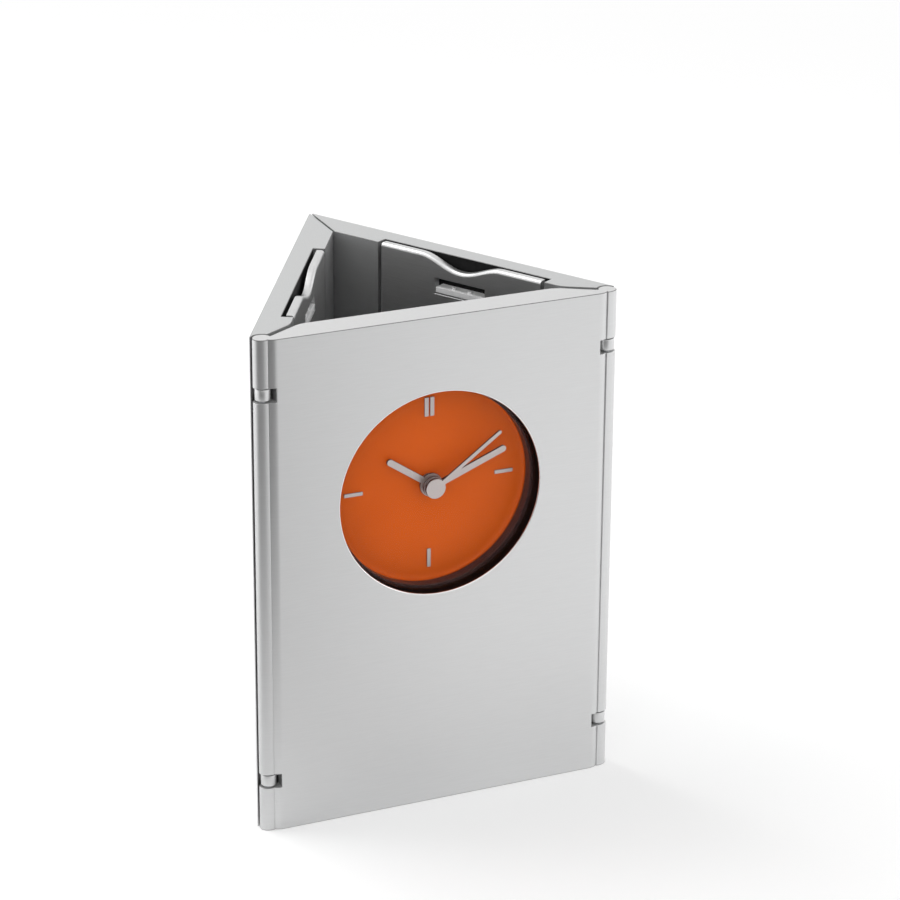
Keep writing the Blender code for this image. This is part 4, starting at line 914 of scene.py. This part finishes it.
# Movement. White moulded plates carry brass and white wheels, the stator with its copper coil, the board
# and the cell. It is shut in the case, so these pieces keep the frame's own shapes and take a finish here.
white = finish("white_moulding", (0.70, 0.69, 0.65), (0.78, 0.77, 0.73), rough=0.5, grain=1500)
brass = finish("brass", (0.70, 0.50, 0.20), (0.80, 0.60, 0.26), rough=0.28, grain=1200, metal=1.0)
windings = {"grain": (16000, 900, 900), "bump": 0.00004}
copper = finish("copper_wire", (0.62, 0.26, 0.12), (0.74, 0.36, 0.20), rough=0.35, metal=1.0, **windings)
board = finish("green_board", (0.02, 0.16, 0.06), (0.04, 0.24, 0.10), rough=0.45, grain=900)
for look, names in (
    (white, ("movement_plate", "rear_plate")),
    (white, ("intermediate_wheel", "third_wheel", "motion_wheel", "hour_wheel")),
    (brass, ("seconds_wheel", "minute_wheel", "contact_minus", "contact_plus")),
    (steel, ("stator", "quartz_can", "battery", "rotor")),
    (copper, ("coil",)),
    (board, ("circuit_board",)),
):
    for name in names:
        node = frame["nodes"][name]
        node.data.materials.clear()
        node.data.materials.append(look)

# Studio. A pale floor that runs out of sight, a white surround, and soft lamps above.
# The floor keeps the cup's shadow, and metal reflects a room that darkens towards the left of the camera.
dusk_way = (cos(radians(238)), sin(radians(238)), 0)
dusk_from, dusk_to, dusk_share = 0.6, 0.96, 0.97


def fed(tree, socket, value):
    """Gives a socket a link or a plain value."""
    if isinstance(value, bpy.types.NodeSocket):
        tree.links.new(value, socket)
    else:
        socket.default_value = value


def reckoned(tree, operation, first, second):
    """What an operation makes of two values."""
    node = tree.nodes.new("ShaderNodeMath")
    node.operation = operation
    fed(tree, node.inputs[0], first)
    fed(tree, node.inputs[1], second)
    return node.outputs["Value"]


def length(tree, vector):
    """How long a vector is."""
    node = wired(tree, "ShaderNodeVectorMath", vector, 0)
    node.operation = "LENGTH"
    return node.outputs["Value"]


def dusk(tree, source, near, far):
    """What a reflection sees of the white room, which darkens with distance towards one side."""
    place = tree.nodes.new("ShaderNodeTexCoord").outputs[source]
    way = wired(tree, "ShaderNodeVectorMath", place, 0)
    way.operation = "NORMALIZE"
    along = wired(tree, "ShaderNodeVectorMath", way.outputs["Vector"], 0)
    along.operation = "DOT_PRODUCT"
    along.inputs[1].default_value = dusk_way
    sideways = fade(tree, along.outputs["Value"], dusk_from, dusk_to, 0.0, 1.0, "SMOOTHSTEP")
    deep = fade(tree, length(tree, place), near, far, 0.0, dusk_share)
    return reckoned(tree, "SUBTRACT", 1.0, reckoned(tree, "MULTIPLY", sideways, deep))


def glowing(tree, node, strength):
    """White light from a background or a glowing surface."""
    node.inputs["Color"].default_value = (1, 1, 1, 1)
    fed(tree, node.inputs["Strength"], strength)
    return node.outputs[0]


def either(tree, share, under, over):
    """A light or surface that gives way to another by a share."""
    node = tree.nodes.new("ShaderNodeMixShader")
    for socket, source in zip(node.inputs, (share, under, over)):
        tree.links.new(source, socket)
    return node.outputs[0]


sky_strength = 0.6
world = bpy.data.worlds.new("surround")
bpy.context.scene.world = world
world.use_nodes = True
air = world.node_tree
air_rays = air.nodes.new("ShaderNodeLightPath").outputs
sky = glowing(air, air.nodes["Background"], sky_strength)
room = glowing(air, air.nodes.new("ShaderNodeBackground"), dusk(air, "Generated", 0.0, 0.5))
backdrop = glowing(air, air.nodes.new("ShaderNodeBackground"), 1.0)
unseen = either(air, air_rays["Is Glossy Ray"], sky, room)
seen = reckoned(air, "MAXIMUM", air_rays["Is Camera Ray"], air_rays["Is Transmission Ray"])
air.links.new(either(air, seen, unseen, backdrop), air.nodes["World Output"].inputs["Surface"])

table_radius = 3.0
paper_white, paper_glow = 0.75, 0.27
white_from, white_to = 0.25, 0.8
pale = bpy.data.materials.new("pale_table")
pale.use_nodes = True
table_tree = pale.node_tree
paper = table_tree.nodes["Principled BSDF"]
paper.inputs["Roughness"].default_value = 1.0
paper.inputs["Specular IOR Level"].default_value = 0.0
table_rays = table_tree.nodes.new("ShaderNodeLightPath").outputs
lit = wired(table_tree, "ShaderNodeMix", table_rays["Is Glossy Ray"], "Factor")
lit.inputs["A"].default_value = 1.0
table_tree.links.new(dusk(table_tree, "Object", 0.02, 0.27), lit.inputs["B"])
paper_shade = reckoned(table_tree, "MULTIPLY", lit.outputs["Result"], paper_white)
table_tree.links.new(paper_shade, paper.inputs["Base Color"])
glow_strength = reckoned(table_tree, "MULTIPLY", lit.outputs["Result"], paper_glow)
glow = glowing(table_tree, table_tree.nodes.new("ShaderNodeEmission"), glow_strength)
lit_paper = wired(table_tree, "ShaderNodeAddShader", paper.outputs[0], 0)
table_tree.links.new(glow, lit_paper.inputs[1])
out_of_sight = glowing(table_tree, table_tree.nodes.new("ShaderNodeEmission"), 1.0)
away = length(table_tree, table_tree.nodes.new("ShaderNodeTexCoord").outputs["Object"])
far_off = fade(table_tree, away, white_from, white_to, 0.0, 1.0, "SMOOTHSTEP")
far_seen = reckoned(table_tree, "MULTIPLY", far_off, table_rays["Is Camera Ray"])
run_out = either(table_tree, far_seen, lit_paper.outputs[0], out_of_sight)
table_tree.links.new(run_out, table_tree.nodes["Material Output"].inputs["Surface"])
ground = bmesh.new()
bmesh.ops.create_circle(ground, cap_ends=True, segments=96, radius=table_radius)
table = shown("table", ground)
table.data.materials.append(pale)
table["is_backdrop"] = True

lamp_aim = Vector((0, 0, 0.05))
for name, place, wide, watts in (
    ("key", (-0.35, 0.40, 0.85), 0.6, 4.0),
    ("right_fill", (0.75, -0.15, 0.35), 0.5, 1.6),
    ("left_rim", (-0.70, 0.45, 0.16), 0.35, 0.8),
    ("front_fill", (-0.35, -0.95, 0.55), 1.4, 3.0),
):
    lamp_data = bpy.data.lights.new(name, "AREA")
    lamp_data.size = wide
    lamp_data.energy = watts
    lamp = bpy.data.objects.new(name, lamp_data)
    bpy.context.scene.collection.objects.link(lamp)
    lamp.location = place
    lamp.rotation_mode = "QUATERNION"
    lamp.rotation_quaternion = (lamp_aim - lamp.location).to_track_quat("-Z", "Y")

# Camera. It stands to the left of the clock's face and a little above it, with a long lens.
# It leans by a third of a degree, and looks past the cup's middle, as the picture is framed.
camera_turn, camera_dip, camera_roll = radians(23.738), radians(21.950), radians(0.365)
camera_far, camera_aside, camera_up = 0.66578, 0.008608, 0.014584
camera_aim = Vector((0.00125, face_y + 0.020, 0.050))
ahead = Vector((sin(camera_turn) * cos(camera_dip), cos(camera_turn) * cos(camera_dip), -sin(camera_dip)))
level = Vector((cos(camera_turn), -sin(camera_turn), 0))
upward = level.cross(ahead)
across = cos(camera_roll) * level + sin(camera_roll) * upward
above = cos(camera_roll) * upward - sin(camera_roll) * level
camera_data = bpy.data.cameras.new("camera")
camera_data.sensor_width = 36.0
camera_data.lens = 136.45
camera_data.clip_end = 20.0
camera = bpy.data.objects.new("camera", camera_data)
bpy.context.scene.collection.objects.link(camera)
eye = camera_aim + camera_aside * across + camera_up * above - camera_far * ahead
camera.matrix_world = Matrix.Translation(eye) @ Matrix((across, above, -ahead)).transposed().to_4x4()
bpy.context.scene.camera = camera
bpy.context.scene.view_settings.view_transform = "Standard"

# Sizes. The finished model's box.
low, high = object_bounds()
